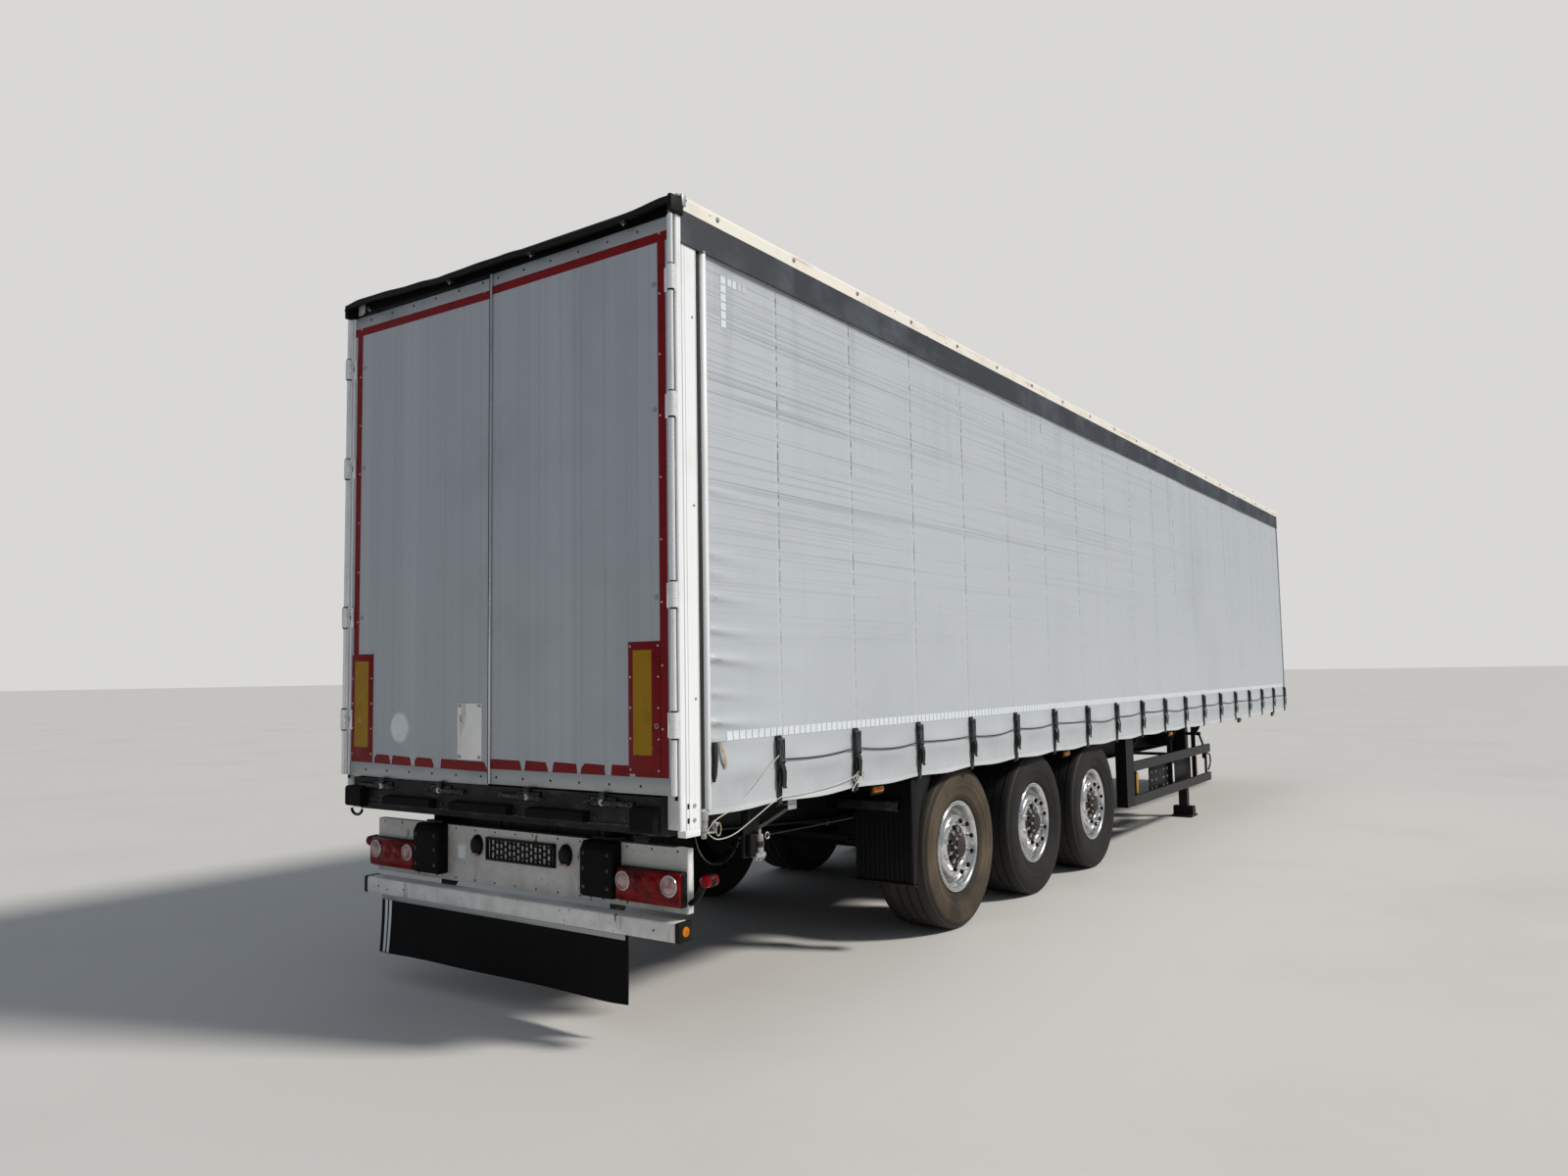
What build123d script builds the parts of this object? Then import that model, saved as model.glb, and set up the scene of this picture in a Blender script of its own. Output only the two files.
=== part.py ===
"""Three axle curtain side semi trailer with hinged rear doors, standing on its landing legs.

Millimetres, +Z up, +Y towards the kingpin, +X to the right when looking forward.
While the pieces are built, Y is measured from the rear face of the doors. The
finished pieces are moved so that the origin lies on the ground, under the middle
of the overall length and width.
"""
from build123d import *
import math
import os

# Driving dimensions of the body
BODY_LENGTH = 13645.0      # rear face of the doors to the front face of the headboard
REAR_PROUD = 70.0          # how far the dock buffers stand behind the doors
SIDE_X = 1275.0            # outer face of the valances, half the width
ROOF_TOP = 3980.0
FLOOR_TOP = 1210.0
FLOOR_THICK = 28.0
SEAT_GAP = 0.3             # between soft or round pieces and what carries them
DOOR_GAP = 7.0             # running gap round the doors

# Chassis
SPRING_INSET = 370.0       # from the middle of a tyre in to the beam over its air spring
BEAM_WEB = 8.0
BEAM_FLANGE = 140.0
FLANGE_THICK = 12.0
BEAM_DEPTH = 402.0         # under the floor, over the axles
TAIL_DEPTH = 270.0         # under the floor, at the rear
NECK_DEPTH = 132.0         # under the floor, over the coupling
TAIL_LENGTH = 900.0        # from the rear axle back to where the tail starts
NECK_AHEAD = 3545.0        # front of the headboard back to the end of the neck's slope
NECK_SLOPE = 600.0
CROSS_PITCH = 700.0
CROSS_FIRST = 400.0
CROSS_HEIGHT = 106.0
CROSS_WEB = 8.0
CROSS_FLANGE = 50.0
OUTRIGGER_TIP = 60.0       # height of an outrigger at the side rail

# Coupling
KINGPIN_SETBACK = 1675.0   # front face of the headboard back to the kingpin
KINGPIN_R = 25.4
COLLAR_R = 36.5
COLLAR_LENGTH = 35.0
NECK_LENGTH = 35.0
FOOT_R = 35.75
FOOT_LENGTH = 14.0
PIN_HEAD_R = 90.0
PIN_HEAD = 12.0
PLATE_THICK = 8.0
PLATE_BEHIND = 820.0
PLATE_AHEAD = 980.0
PLATE_CORNER = 220.0

# Running gear
AXLE_FIRST = 2960.0        # rear face of the doors to the rearmost axle
AXLE_PITCH = 1310.0
AXLE_COUNT = 3
TRACK = 2040.0
TYRE_R = 536.0
TYRE_WIDTH = 386.0
SEAT_R = 286.0             # bead seat of the rim
FLANGE_R = 298.5
RIM_WIDTH = 318.0
FLANGE_LIP = 9.0
DISC_OUT = 138.0           # outer face of the wheel disc from the wheel's middle
DISC_THICK = 22.0
DISC_FLAT_R = 228.0
HUB_R = 66.0
HUB_LENGTH = 52.0
HUB_LID = 12.0
SPINDLE_R = 42.0
SPINDLE_GAP = 0.5
SPINDLE_REACH = 22.0       # how far the spindle enters the hub
AXLE_R = 63.5
DRUM_R = 205.0
DRUM_IN = 175.0            # inner face of the drum from the middle of the tyre
DRUM_LENGTH = 140.0
ARM_AHEAD = 500.0          # arm pivot ahead of its axle
ARM_WIDTH = 90.0
ARM_SEAT = 64.0            # top of the arm's tail above the axle centre
PIVOT_RISE = 74.0
BAG_BEHIND = 400.0         # air spring behind its axle
BAG_R = 145.0
BAG_FOOT_R = 80.0
HANGER_THICK = 10.0
WHEEL_SIDES = 32           # flat facets round a tyre and its rim

# Rear frame and doors
POST_ABOVE = 33.0          # lower end of the posts above the sill's underside
POST_DEPTH = 112.0         # along Y, in front of the door leaves
POST_WIDTH = 99.0
DOOR_THICK = 28.0
DOOR_UNDER = 45.0          # doors reach this far below the floor
DOOR_EDGE = 31.0           # edge of a leaf inside the post's side face
SEAM_X = -20.0             # middle of the gap between the leaves
PLANK = 201.0              # width of one door plank
PLANK_GROOVE = 2.0
PIN_IN = 7.0               # hinge pin inside the post's side face
PIN_BEHIND = 22.0          # hinge pin behind the door's rear face
KNUCKLE_R = 17.0
KNUCKLE_GAP = 0.4
HINGE_HEIGHT = 116.0
HINGES_FROM_LOW = (319.0, 910.0)
HINGES_FROM_TOP = (908.0, 308.0)
EDGE_BAR_R = 8.0
SILL_DROP = 8.0            # sill under the doors
SILL_HEIGHT = 182.0
SILL_PROUD = 12.0
HEADER_OVERLAP = 74.0      # header below the top of the doors
LATCH_X = (-894.0, -387.0, 296.0, 815.0)
BUFFER_SPANS = ((-840.0, -430.0), (-270.0, 180.0), (320.0, 720.0))

# Side walls and roof
RAVE_IN = 15.0             # outer face of the side rail inside the overall side
RAVE_THICK = 6.0
RAVE_DROP = 132.0          # side rail below the floor's top
RAVE_SHELF = 65.0
CURTAIN_THICK = 6.0
CURTAIN_DROP = 16.0        # curtain hem below the side rail
CURTAIN_REAR_GAP = 17.0
FRONT_POST = 85.0          # along Y
FRONT_POST_WIDTH = 100.0
RAIL_HEIGHT = 82.0
RAIL_WIDTH = 75.0
VALANCE_HEIGHT = 158.0
VALANCE_THICK = 4.0
BOW_PITCH = 645.0
BOW_FIRST = 700.0
BOW_WIDTH = 34.0
BOW_HEIGHT = 40.0
ROOF_SKIN = 5.0
SKIN_SINK = 12.0           # roof cover below the rails' top edge
STRAP_FIRST = 775.0
STRAP_PITCH = 750.0
STRAP_WIDTH = 46.0
BUCKLE_PROUD = 22.0
WALL_THICK = 38.0          # headboard
WALL_RIB = 12.0
SIDE_POST_PITCH = 3300.0
SIDE_POST_DEPTH = 52.0
SIDE_POST_WIDTH = 120.0
LIP_PROUD = 50.0           # black lip behind the doors
LIP_WIDE = 15.0            # and past each side

# Rear lights and underrun protection
PANEL_Y = 160.0
PANEL_HALF = 1178.0
PANEL_LOW = 605.0
PANEL_TOP = 905.0
PANEL_THICK = 5.0
PANEL_FOLD = 40.0
LAMP_IN = 778.0
LAMP_OUT = 1178.0
LAMP_LOW = 640.0
LAMP_HEIGHT = 158.0
LAMP_DEPTH = 60.0
STOP_IN = 545.0
STOP_OUT = 765.0
STOP_DEPTH = 72.0
UNDERRUN_Y = 78.0
UNDERRUN_LOW = 490.0
UNDERRUN_HEIGHT = 90.0
UNDERRUN_DEPTH = 92.0
UNDERRUN_HALF = 1170.0
FLAP_LOW = 165.0
FLAP_LEFT = -1065.0
FLAP_RIGHT = 850.0

# Landing legs, side guards, wings and tanks
LEG_X = 950.0
LEG_BEHIND = 2720.0        # leg behind the kingpin
LEG_TUBE = 120.0
LEG_INNER = 92.0
LEG_LOW = 430.0
FOOT_SIZE = 260.0
FOOT_PAD = 22.0
FOOT_HIGH = 118.0
SHAFT_R = 17.0
SHAFT_Z = 940.0
GUARD_X = 1222.0
GUARD_THICK = 26.0
GUARD_AHEAD = 1020.0       # rear end of the guard ahead of the front axle
GUARD_LENGTH = 2820.0
GUARD_HEIGHT = 90.0
GUARD_LOWS = (410.0, 730.0)
GUARD_POSTS = (60.0, 1360.0, 2300.0)
TANK_R = 123.0
TANK_LENGTH = 960.0
WING_IN = 835.0
WING_OUT = 1218.0
WING_LOW = 405.0
WING_GAP = 204.0           # clear space between the last tyre and the wing behind it
VALVE_X = 1150.0
VALVE_Y = 610.0
VALVE_DROP = 248.0         # underside of the valve box below the side rail

# Places worked out from the driving dimensions
origin_y = (BODY_LENGTH - REAR_PROUD) / 2
wheel_x = TRACK / 2
beam_x = wheel_x - SPRING_INSET
axle_y = [AXLE_FIRST + index * AXLE_PITCH for index in range(AXLE_COUNT)]
floor_low = FLOOR_TOP - FLOOR_THICK
beam_low = floor_low - BEAM_DEPTH
neck_low = floor_low - NECK_DEPTH
post_x = SIDE_X - VALANCE_THICK
post_in = post_x - POST_WIDTH
post_rear = DOOR_THICK + DOOR_GAP
post_front = post_rear + POST_DEPTH
front_in = BODY_LENGTH - FRONT_POST
wall_half = post_x - FRONT_POST_WIDTH
rail_low = ROOF_TOP - RAIL_HEIGHT
rail_in = SIDE_X - RAIL_WIDTH
skin_top = ROOF_TOP - SKIN_SINK
skin_low = skin_top - ROOF_SKIN
door_top = rail_low - 34
rave_out = SIDE_X - RAVE_IN
rave_shelf = rave_out - RAVE_SHELF
rave_low = FLOOR_TOP - RAVE_DROP
curtain_in = rave_out + SEAT_GAP
curtain_out = curtain_in + CURTAIN_THICK
curtain_low = rave_low - CURTAIN_DROP
kingpin_y = BODY_LENGTH - KINGPIN_SETBACK
leg_y = kingpin_y - LEG_BEHIND
door_low = FLOOR_TOP - DOOR_UNDER
sill_top = door_low - SILL_DROP
sill_low = sill_top - SILL_HEIGHT
post_low = sill_low + POST_ABOVE
sill_rear = -SILL_PROUD
cross_low = floor_low - FLANGE_THICK - CROSS_HEIGHT
cross_y = []
while CROSS_FIRST + len(cross_y) * CROSS_PITCH < front_in - CROSS_FLANGE:
    cross_y.append(CROSS_FIRST + len(cross_y) * CROSS_PITCH)
nodes = {}


def bar(points, axis, start, end):
    """Extrude a profile. Its points are (y, z) along X, (x, z) along Y and (x, y) along Z."""
    place = {
        "X": lambda a, b: (start, a, b),
        "Y": lambda a, b: (a, start, b),
        "Z": lambda a, b: (a, b, start),
    }[axis]
    way = {"X": Vector(1, 0, 0), "Y": Vector(0, 1, 0), "Z": Vector(0, 0, 1)}[axis]
    face = Face(Wire.make_polygon([place(*point) for point in points]))
    return Solid.extrude(face, way * (end - start))


def rect(a0, a1, b0, b1, cut=0.0):
    """The corners of a rectangle for bar, with each corner cut off if asked."""
    if not cut:
        return [(a0, b0), (a1, b0), (a1, b1), (a0, b1)]
    return [
        (a0 + cut, b0), (a1 - cut, b0), (a1, b0 + cut), (a1, b1 - cut),
        (a1 - cut, b1), (a0 + cut, b1), (a0, b1 - cut), (a0, b0 + cut),
    ]


def circle(a, b, radius, sides):
    """A polygon for bar whose flats touch the circle of this radius."""
    reach = radius / math.cos(math.pi / sides)
    turns = [2 * math.pi * (index + 0.5) / sides for index in range(sides)]
    return [(a + reach * math.sin(turn), b - reach * math.cos(turn)) for turn in turns]


def rod(radius, start, end, sides=12):
    """A round bar between two points, drawn with flat facets to keep its mesh light."""
    way = Vector(*end) - Vector(*start)
    plane = Plane(origin=start, z_dir=way)
    corners = [plane.from_local_coords((a, b, 0)) for a, b in circle(0, 0, radius, sides)]
    return Solid.extrude(Face(Wire.make_polygon(corners)), way)


def faceted_ring(section, origin, axis, sides):
    """Turn a closed section of (along, radius) points about an axis, in flat facets.

    A facet's middle lies at the section's radius, so a ring's facets touch what a
    round one would. Points at radius 0 close the ring on its axis.
    """
    plane = Plane(origin=origin, z_dir=axis)
    rows = []
    for along, radius in section:
        corners = circle(0, 0, radius, sides) if radius else []
        rows.append([plane.from_local_coords((a, b, along)) for a, b in corners])
    faces = []
    for index, row in enumerate(rows):
        after = rows[(index + 1) % len(rows)]
        along, radius = section[index]
        next_along, next_radius = section[(index + 1) % len(rows)]
        if not radius and not next_radius:
            continue
        if not radius or not next_radius:
            faces.append(Face(Wire.make_polygon(row or after)))
            continue
        if along == next_along:
            outer, inner = (row, after) if radius > next_radius else (after, row)
            faces.append(Face(Wire.make_polygon(outer), [Wire.make_polygon(inner)]))
            continue
        for side in range(sides):
            other = (side + 1) % sides
            faces.append(Face(Wire.make_polygon([row[side], row[other], after[other], after[side]])))
    return Solid(Shell(faces))


def mirrored(*solids):
    """The solids and their copies on the left side."""
    return list(solids) + [solid.mirror(Plane.YZ) for solid in solids]


def joined(solids):
    """Fuse a list of touching solids into one."""
    whole = solids[0]
    for solid in solids[1:]:
        whole = whole + solid
    return whole


def keep(name, *solids):
    """Store the solids of one node, with the origin under the middle of the trailer."""
    flat = []
    for solid in solids:
        flat += solid.solids()
    nodes[name] = [Pos(0, -origin_y, 0) * solid for solid in flat]


# Main beams: a web with a rising tail, a deep middle and a shallow neck, and its two flanges
tail_y = axle_y[0] - TAIL_LENGTH
neck_end = BODY_LENGTH - NECK_AHEAD
beam_line = [
    (post_front, floor_low - TAIL_DEPTH),
    (tail_y, beam_low),
    (neck_end - NECK_SLOPE, beam_low),
    (neck_end, neck_low),
    (front_in, neck_low),
]
flange_in = beam_x - BEAM_FLANGE / 2
flange_out = beam_x + BEAM_FLANGE / 2
web_in = beam_x - BEAM_WEB / 2
web_out = beam_x + BEAM_WEB / 2
web_top = floor_low - FLANGE_THICK


def tail_height(y):
    """Underside of the beams' tail at a given place."""
    share = (y - post_front) / (tail_y - post_front)
    return floor_low - TAIL_DEPTH - share * (BEAM_DEPTH - TAIL_DEPTH)


raised = [(y, z + FLANGE_THICK) for y, z in beam_line]
web = bar(raised + [(front_in, web_top), (post_front, web_top)], "X", web_in, web_out)
low_flange = bar(beam_line + raised[::-1], "X", flange_in, flange_out)
top_flange = bar(rect(post_front, front_in, web_top, floor_low), "X", flange_in, flange_out)
keep("chassis_beams", *mirrored(web + low_flange + top_flange))

# Cross members: a centre piece between the webs and two tapered outriggers, notched under the flanges
crossings = []
rave_web = rave_out - RAVE_THICK
for y in cross_y:
    centre = [
        (-web_in, cross_low), (web_in, cross_low), (web_in, web_top), (flange_in, web_top),
        (flange_in, floor_low), (-flange_in, floor_low), (-flange_in, web_top), (-web_in, web_top),
    ]
    outrigger = [
        (web_out, cross_low), (rave_web, floor_low - OUTRIGGER_TIP), (rave_web, floor_low),
        (flange_out, floor_low), (flange_out, web_top), (web_out, web_top),
    ]
    strip = bar(rect(y - CROSS_FLANGE, y, cross_low, cross_low + CROSS_WEB), "X", -web_in, web_in)
    crossings.append(bar(centre, "Y", y, y + CROSS_WEB) + strip)
    crossings += mirrored(bar(outrigger, "Y", y, y + CROSS_WEB))
keep("cross_members", *crossings)

# Side rails, whose shelf meets the edge of the floor, and the floor
shelf_low = FLOOR_TOP - RAVE_THICK
rave_profile = [
    (rave_out, rave_low), (rave_out, FLOOR_TOP), (rave_shelf + SEAT_GAP, FLOOR_TOP),
    (rave_shelf + SEAT_GAP, shelf_low), (rave_web, shelf_low), (rave_web, rave_low + RAVE_THICK),
    (rave_out - 40, rave_low + RAVE_THICK), (rave_out - 40, rave_low),
]
keep("side_rails", *mirrored(bar(rave_profile, "Y", post_front, front_in)))
keep("floor", bar(rect(-rave_shelf, rave_shelf, floor_low, FLOOR_TOP), "Y", post_front, front_in))

# Coupling plate with cut front corners, and the kingpin with its head on top of the plate
plate_low = neck_low - PLATE_THICK
plate_rear = kingpin_y - PLATE_BEHIND
plate_front = kingpin_y + PLATE_AHEAD
plate = bar([
    (-flange_out, plate_rear), (flange_out, plate_rear), (flange_out, plate_front - PLATE_CORNER),
    (flange_out - PLATE_CORNER, plate_front), (PLATE_CORNER - flange_out, plate_front),
    (-flange_out, plate_front - PLATE_CORNER),
], "Z", plate_low, neck_low)
pin_hole = bar(circle(0, kingpin_y, COLLAR_R + SEAT_GAP, 20), "Z", plate_low - 1, neck_low + 1)
keep("coupler_plate", plate - pin_hole)
collar_low = plate_low - COLLAR_LENGTH
kingpin_section = [
    (neck_low + PIN_HEAD, 0), (neck_low + PIN_HEAD, PIN_HEAD_R), (neck_low, PIN_HEAD_R), (neck_low, COLLAR_R),
    (collar_low, COLLAR_R), (collar_low, KINGPIN_R), (collar_low - NECK_LENGTH, KINGPIN_R),
    (collar_low - NECK_LENGTH, FOOT_R), (collar_low - NECK_LENGTH - FOOT_LENGTH, FOOT_R),
    (collar_low - NECK_LENGTH - FOOT_LENGTH, 0),
]
keep("kingpin", faceted_ring(kingpin_section, (0, kingpin_y, 0), (0, 0, 1), 20))

# Headboard with pressed ribs, the front cross bar over it, and the front corner posts
wall_line = [(-wall_half, BODY_LENGTH - WALL_THICK), (wall_half, BODY_LENGTH - WALL_THICK)]
wall_line.append((wall_half, BODY_LENGTH - WALL_RIB))
for index in (2, 1, 0, -1, -2):
    middle = index * wall_half / 3
    wall_line += [
        (middle + 70, BODY_LENGTH - WALL_RIB), (middle + 60, BODY_LENGTH),
        (middle - 60, BODY_LENGTH), (middle - 70, BODY_LENGTH - WALL_RIB),
    ]
wall_line.append((-wall_half, BODY_LENGTH - WALL_RIB))
front_bar = bar(rect(front_in, BODY_LENGTH, rail_low, skin_low), "X", -rail_in, rail_in)
keep("front_wall", bar(wall_line, "Z", rave_low, rail_low), front_bar)
front_post = [
    (wall_half, front_in), (post_x, front_in), (post_x, BODY_LENGTH - 30), (post_x - 9, BODY_LENGTH - 9),
    (post_x - 30, BODY_LENGTH), (wall_half, BODY_LENGTH),
]
keep("front_posts", *mirrored(bar(front_post, "Z", rave_low, rail_low)))

# Side posts behind the curtains, on the shelf of the side rails
side_posts = []
side_post_in = rave_shelf + 1
side_post_out = side_post_in + SIDE_POST_DEPTH
post_count = int((front_in - post_front) / SIDE_POST_PITCH - 0.5)
for index in range(post_count):
    y = (post_front + front_in) / 2 + (index - (post_count - 1) / 2) * SIDE_POST_PITCH
    outline = rect(side_post_in, side_post_out, y - SIDE_POST_WIDTH / 2, y + SIDE_POST_WIDTH / 2)
    side_posts.append(bar(outline, "Z", FLOOR_TOP, rail_low))
keep("side_posts", *mirrored(*side_posts))

# Roof: side rails with a cut outer edge, bows, the cover, the rear header and the black lip
rail_step = rail_in + 38
rail_profile = [
    (rail_in, rail_low), (SIDE_X, rail_low), (SIDE_X, ROOF_TOP - 22), (SIDE_X - 5, ROOF_TOP - 8),
    (SIDE_X - 16, ROOF_TOP), (rail_step, ROOF_TOP), (rail_step, skin_top), (rail_in, skin_top),
]
keep("roof_rails", *mirrored(bar(rail_profile, "Y", post_rear, BODY_LENGTH)))
bows = []
while BOW_FIRST + len(bows) * BOW_PITCH < front_in - BOW_WIDTH:
    y = BOW_FIRST + len(bows) * BOW_PITCH
    outline = rect(y - BOW_WIDTH / 2, y + BOW_WIDTH / 2, skin_low - BOW_HEIGHT, skin_low)
    bows.append(bar(outline, "X", -rail_in, rail_in))
keep("roof_bows", *bows)
keep("roof_skin", bar(rect(-rail_in, rail_in, skin_low, skin_top), "Y", post_rear, BODY_LENGTH))
post_top = door_top + 2
header_low = door_top - HEADER_OVERLAP
keep("rear_header",
     bar(rect(post_rear, post_front, header_low, skin_low), "X", -post_in, post_in)
     + bar(rect(post_rear, post_front, post_top, rail_low), "X", -post_x, post_x)
     + bar(rect(post_rear, post_front, rail_low, skin_low), "X", -rail_in, rail_in))
lip_low = door_top + DOOR_GAP
lip_top = ROOF_TOP - 4
lip_profile = [
    (post_rear, lip_low), (6 - LIP_PROUD, lip_low), (-LIP_PROUD, lip_low + 12), (-LIP_PROUD, lip_low + 60),
    (16 - LIP_PROUD, lip_top - 10), (44 - LIP_PROUD, lip_top), (post_rear, lip_top),
]
keep("rear_lip", bar(lip_profile, "X", -SIDE_X - LIP_WIDE, SIDE_X + LIP_WIDE))

# Curtains, valances, strap buckles and the tensioners at the rear posts
curtain_rear = post_front + CURTAIN_REAR_GAP
curtain_front = front_in - 8
curtain_line = rect(curtain_in, curtain_out, curtain_low, rail_low - SEAT_GAP)
curtain = bar(curtain_line, "Y", curtain_rear, curtain_front)
keep("curtains", *mirrored(curtain))
valance_line = rect(post_x, SIDE_X, rail_low - VALANCE_HEIGHT, rail_low)
valance = bar(valance_line, "Y", post_rear + 20, BODY_LENGTH - 40)
keep("valances", *mirrored(valance))
strap_in = curtain_out + SEAT_GAP
strap_profile = [
    (strap_in, curtain_low + 20), (strap_in + BUCKLE_PROUD, curtain_low + 170),
    (strap_in + BUCKLE_PROUD, curtain_low + 275), (strap_in, curtain_low + 312),
]
straps = []
while STRAP_FIRST + len(straps) * STRAP_PITCH < curtain_front - STRAP_WIDTH / 2:
    y = STRAP_FIRST + len(straps) * STRAP_PITCH
    straps.append(bar(strap_profile, "Y", y - STRAP_WIDTH / 2, y + STRAP_WIDTH / 2))
tensioner = bar(rect(post_x - 21, post_x - 2, post_front, post_front + 40), "Z", post_low - 46, rave_low - 23)
keep("curtain_fittings", *mirrored(*straps, tensioner))

# Rear corner posts with a ridged corner, and the fixed halves of the hinges
pin_x = post_x - PIN_IN
pin_y = -PIN_BEHIND
hinge_z = [door_low + rise for rise in HINGES_FROM_LOW] + [door_top - drop for drop in HINGES_FROM_TOP]
third = HINGE_HEIGHT / 3
ridges = [(post_x - 15, 8.0), (post_x - 4, 8.0), (post_x, 13.0)]
for y in (24.0, 42.0):
    ridges += [(post_x, y), (post_x - 3, y + 3), (post_x, y + 6)]
post_outline = ridges + [
    (post_x, post_front), (post_in, post_front), (post_in, post_rear), (post_x - 15, post_rear),
]
post_parts = [bar(post_outline, "Z", post_low, post_top)]
for z in hinge_z:
    for low in (z - 1.5 * third, z + 0.5 * third):
        post_parts.append(bar(circle(pin_x, pin_y, KNUCKLE_R, 10), "Z", low, low + third))
        post_parts.append(bar(rect(post_x - 14, post_x - 4, pin_y, 10.0), "Z", low, low + third))
keep("rear_posts", *mirrored(joined(post_parts)))


def door(side, inner):
    """One leaf: planks from the outer edge to the seam, an edge bar and the moving knuckles."""
    outer = side * (post_x - DOOR_EDGE)
    count = round(abs(outer - inner) / PLANK)
    plank = abs(outer - inner) / count
    outline = [(outer, 0.0)]
    for index in range(1, count):
        x = outer - side * index * plank
        outline += [(x + side * 3, 0.0), (x, PLANK_GROOVE), (x - side * 3, 0.0)]
    outline += [(inner, 0.0), (inner, DOOR_THICK), (outer, DOOR_THICK)]
    parts = [bar(outline, "Z", door_low, door_top)]
    parts.append(bar(circle(outer + side * 2, -1.0, EDGE_BAR_R, 8), "Z", door_low, door_top))
    strap = [
        (outer - side * 4, 2.0), (outer - side * 4, -14.0), (outer + side * 10, pin_y - 12),
        (side * pin_x, pin_y - 12), (side * pin_x, -8.0), (outer, 2.0),
    ]
    for z in hinge_z:
        low = z - third / 2 + KNUCKLE_GAP
        high = z + third / 2 - KNUCKLE_GAP
        parts.append(bar(circle(side * pin_x, pin_y, KNUCKLE_R, 10), "Z", low, high))
        parts.append(bar(strap, "Z", low, high))
    return joined(parts)


keep("door_right", door(1, SEAM_X + DOOR_GAP / 2))
keep("door_left", door(-1, SEAM_X - DOOR_GAP / 2))

# Rear sill with its latch pockets, and the rubber dock buffers
sill = bar([
    (sill_rear, sill_low + 40), (sill_rear, sill_top), (post_rear, sill_top), (post_rear, FLOOR_TOP),
    (post_front, FLOOR_TOP), (post_front, sill_low), (post_rear, sill_low),
], "X", -post_in, post_in)
for x in LATCH_X:
    sill = sill - bar(rect(x - 95, x + 95, sill_rear - 1, post_rear - 15), "Z", sill_top - 62, sill_top - 12)
keep("rear_sill", sill)
buffer_profile = [
    (sill_rear, sill_low + 43), (14 - REAR_PROUD, sill_low + 49), (8 - REAR_PROUD, sill_low + 65),
    (14 - REAR_PROUD, sill_low + 91), (sill_rear, sill_low + 97),
]
buffers = [bar(buffer_profile, "X", left, right) for left, right in BUFFER_SPANS]
corner_profile = [
    (sill_rear, sill_low + 25), (10 - REAR_PROUD, sill_low + 25), (-REAR_PROUD, sill_low + 37),
    (-REAR_PROUD, sill_low + 125), (10 - REAR_PROUD, sill_low + 137), (sill_rear, sill_low + 137),
]
corner_block = bar(corner_profile, "X", post_in - 142, post_in)
keep("dock_buffers", *buffers, *mirrored(corner_block))

# Folded lamp panel, tail lamps with side stalks, and bump stops
panel_front = PANEL_Y + PANEL_FOLD
panel_profile = [
    (PANEL_Y, PANEL_LOW), (PANEL_Y, PANEL_TOP), (panel_front, PANEL_TOP),
    (panel_front, PANEL_TOP - PANEL_THICK),
    (PANEL_Y + PANEL_THICK, PANEL_TOP - PANEL_THICK), (PANEL_Y + PANEL_THICK, PANEL_LOW + PANEL_THICK),
    (panel_front, PANEL_LOW + PANEL_THICK), (panel_front, PANEL_LOW),
]
keep("lamp_panel", bar(panel_profile, "X", -PANEL_HALF, PANEL_HALF))
lamp_rear = PANEL_Y - LAMP_DEPTH
lamp_top = LAMP_LOW + LAMP_HEIGHT
lamp = bar([
    (PANEL_Y, LAMP_LOW), (PANEL_Y, lamp_top), (lamp_rear + 12, lamp_top - 4), (lamp_rear, lamp_top - 30),
    (lamp_rear - 4, LAMP_LOW + 20), (lamp_rear + 4, LAMP_LOW),
], "X", LAMP_IN, LAMP_OUT)
stalk_foot = bar(rect(PANEL_Y + 5, panel_front, 640.0, 690.0), "X", PANEL_HALF, PANEL_HALF + 16)
stalk_arm = rod(14.0, (PANEL_HALF + 4, 180.0, 664.0), (1250.0, 172.0, 752.0), 8)
stalk_lamp = rod(30.0, (1256.0, 128.0, 762.0), (1256.0, 212.0, 762.0), 8)
keep("tail_lamps", *mirrored(lamp, stalk_foot + stalk_arm + stalk_lamp))
stop_rear = PANEL_Y - STOP_DEPTH
stop_profile = [
    (PANEL_Y, LAMP_LOW), (stop_rear, LAMP_LOW), (stop_rear, PANEL_TOP - 25), (stop_rear + 22, PANEL_TOP + 3),
    (PANEL_Y, PANEL_TOP + 3),
]
keep("bump_stops", *mirrored(bar(stop_profile, "X", STOP_IN, STOP_OUT)))

# Underrun beam on two bracket plates under the beams' tails, and the wide flap that hangs from it
underrun_front = UNDERRUN_Y + UNDERRUN_DEPTH
underrun_top = UNDERRUN_LOW + UNDERRUN_HEIGHT
underrun_outline = rect(UNDERRUN_Y, underrun_front, UNDERRUN_LOW, underrun_top, 8.0)
underrun = bar(underrun_outline, "X", -UNDERRUN_HALF, UNDERRUN_HALF)
bracket = bar([
    (underrun_front, UNDERRUN_LOW + 10), (underrun_front, underrun_top - 10),
    (panel_front, underrun_top - 10),
    (panel_front, tail_height(panel_front)), (480.0, tail_height(480.0)), (420.0, 700.0),
    (260.0, UNDERRUN_LOW + 10),
], "X", beam_x - 5, beam_x + 5)
keep("underrun_beam", underrun, *mirrored(bracket))
flap_line = rect(UNDERRUN_Y + 26, UNDERRUN_Y + 32, FLAP_LOW, UNDERRUN_LOW - SEAT_GAP)
flap = bar(flap_line, "X", FLAP_LEFT, FLAP_RIGHT)
keep("rear_flap", flap)

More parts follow.
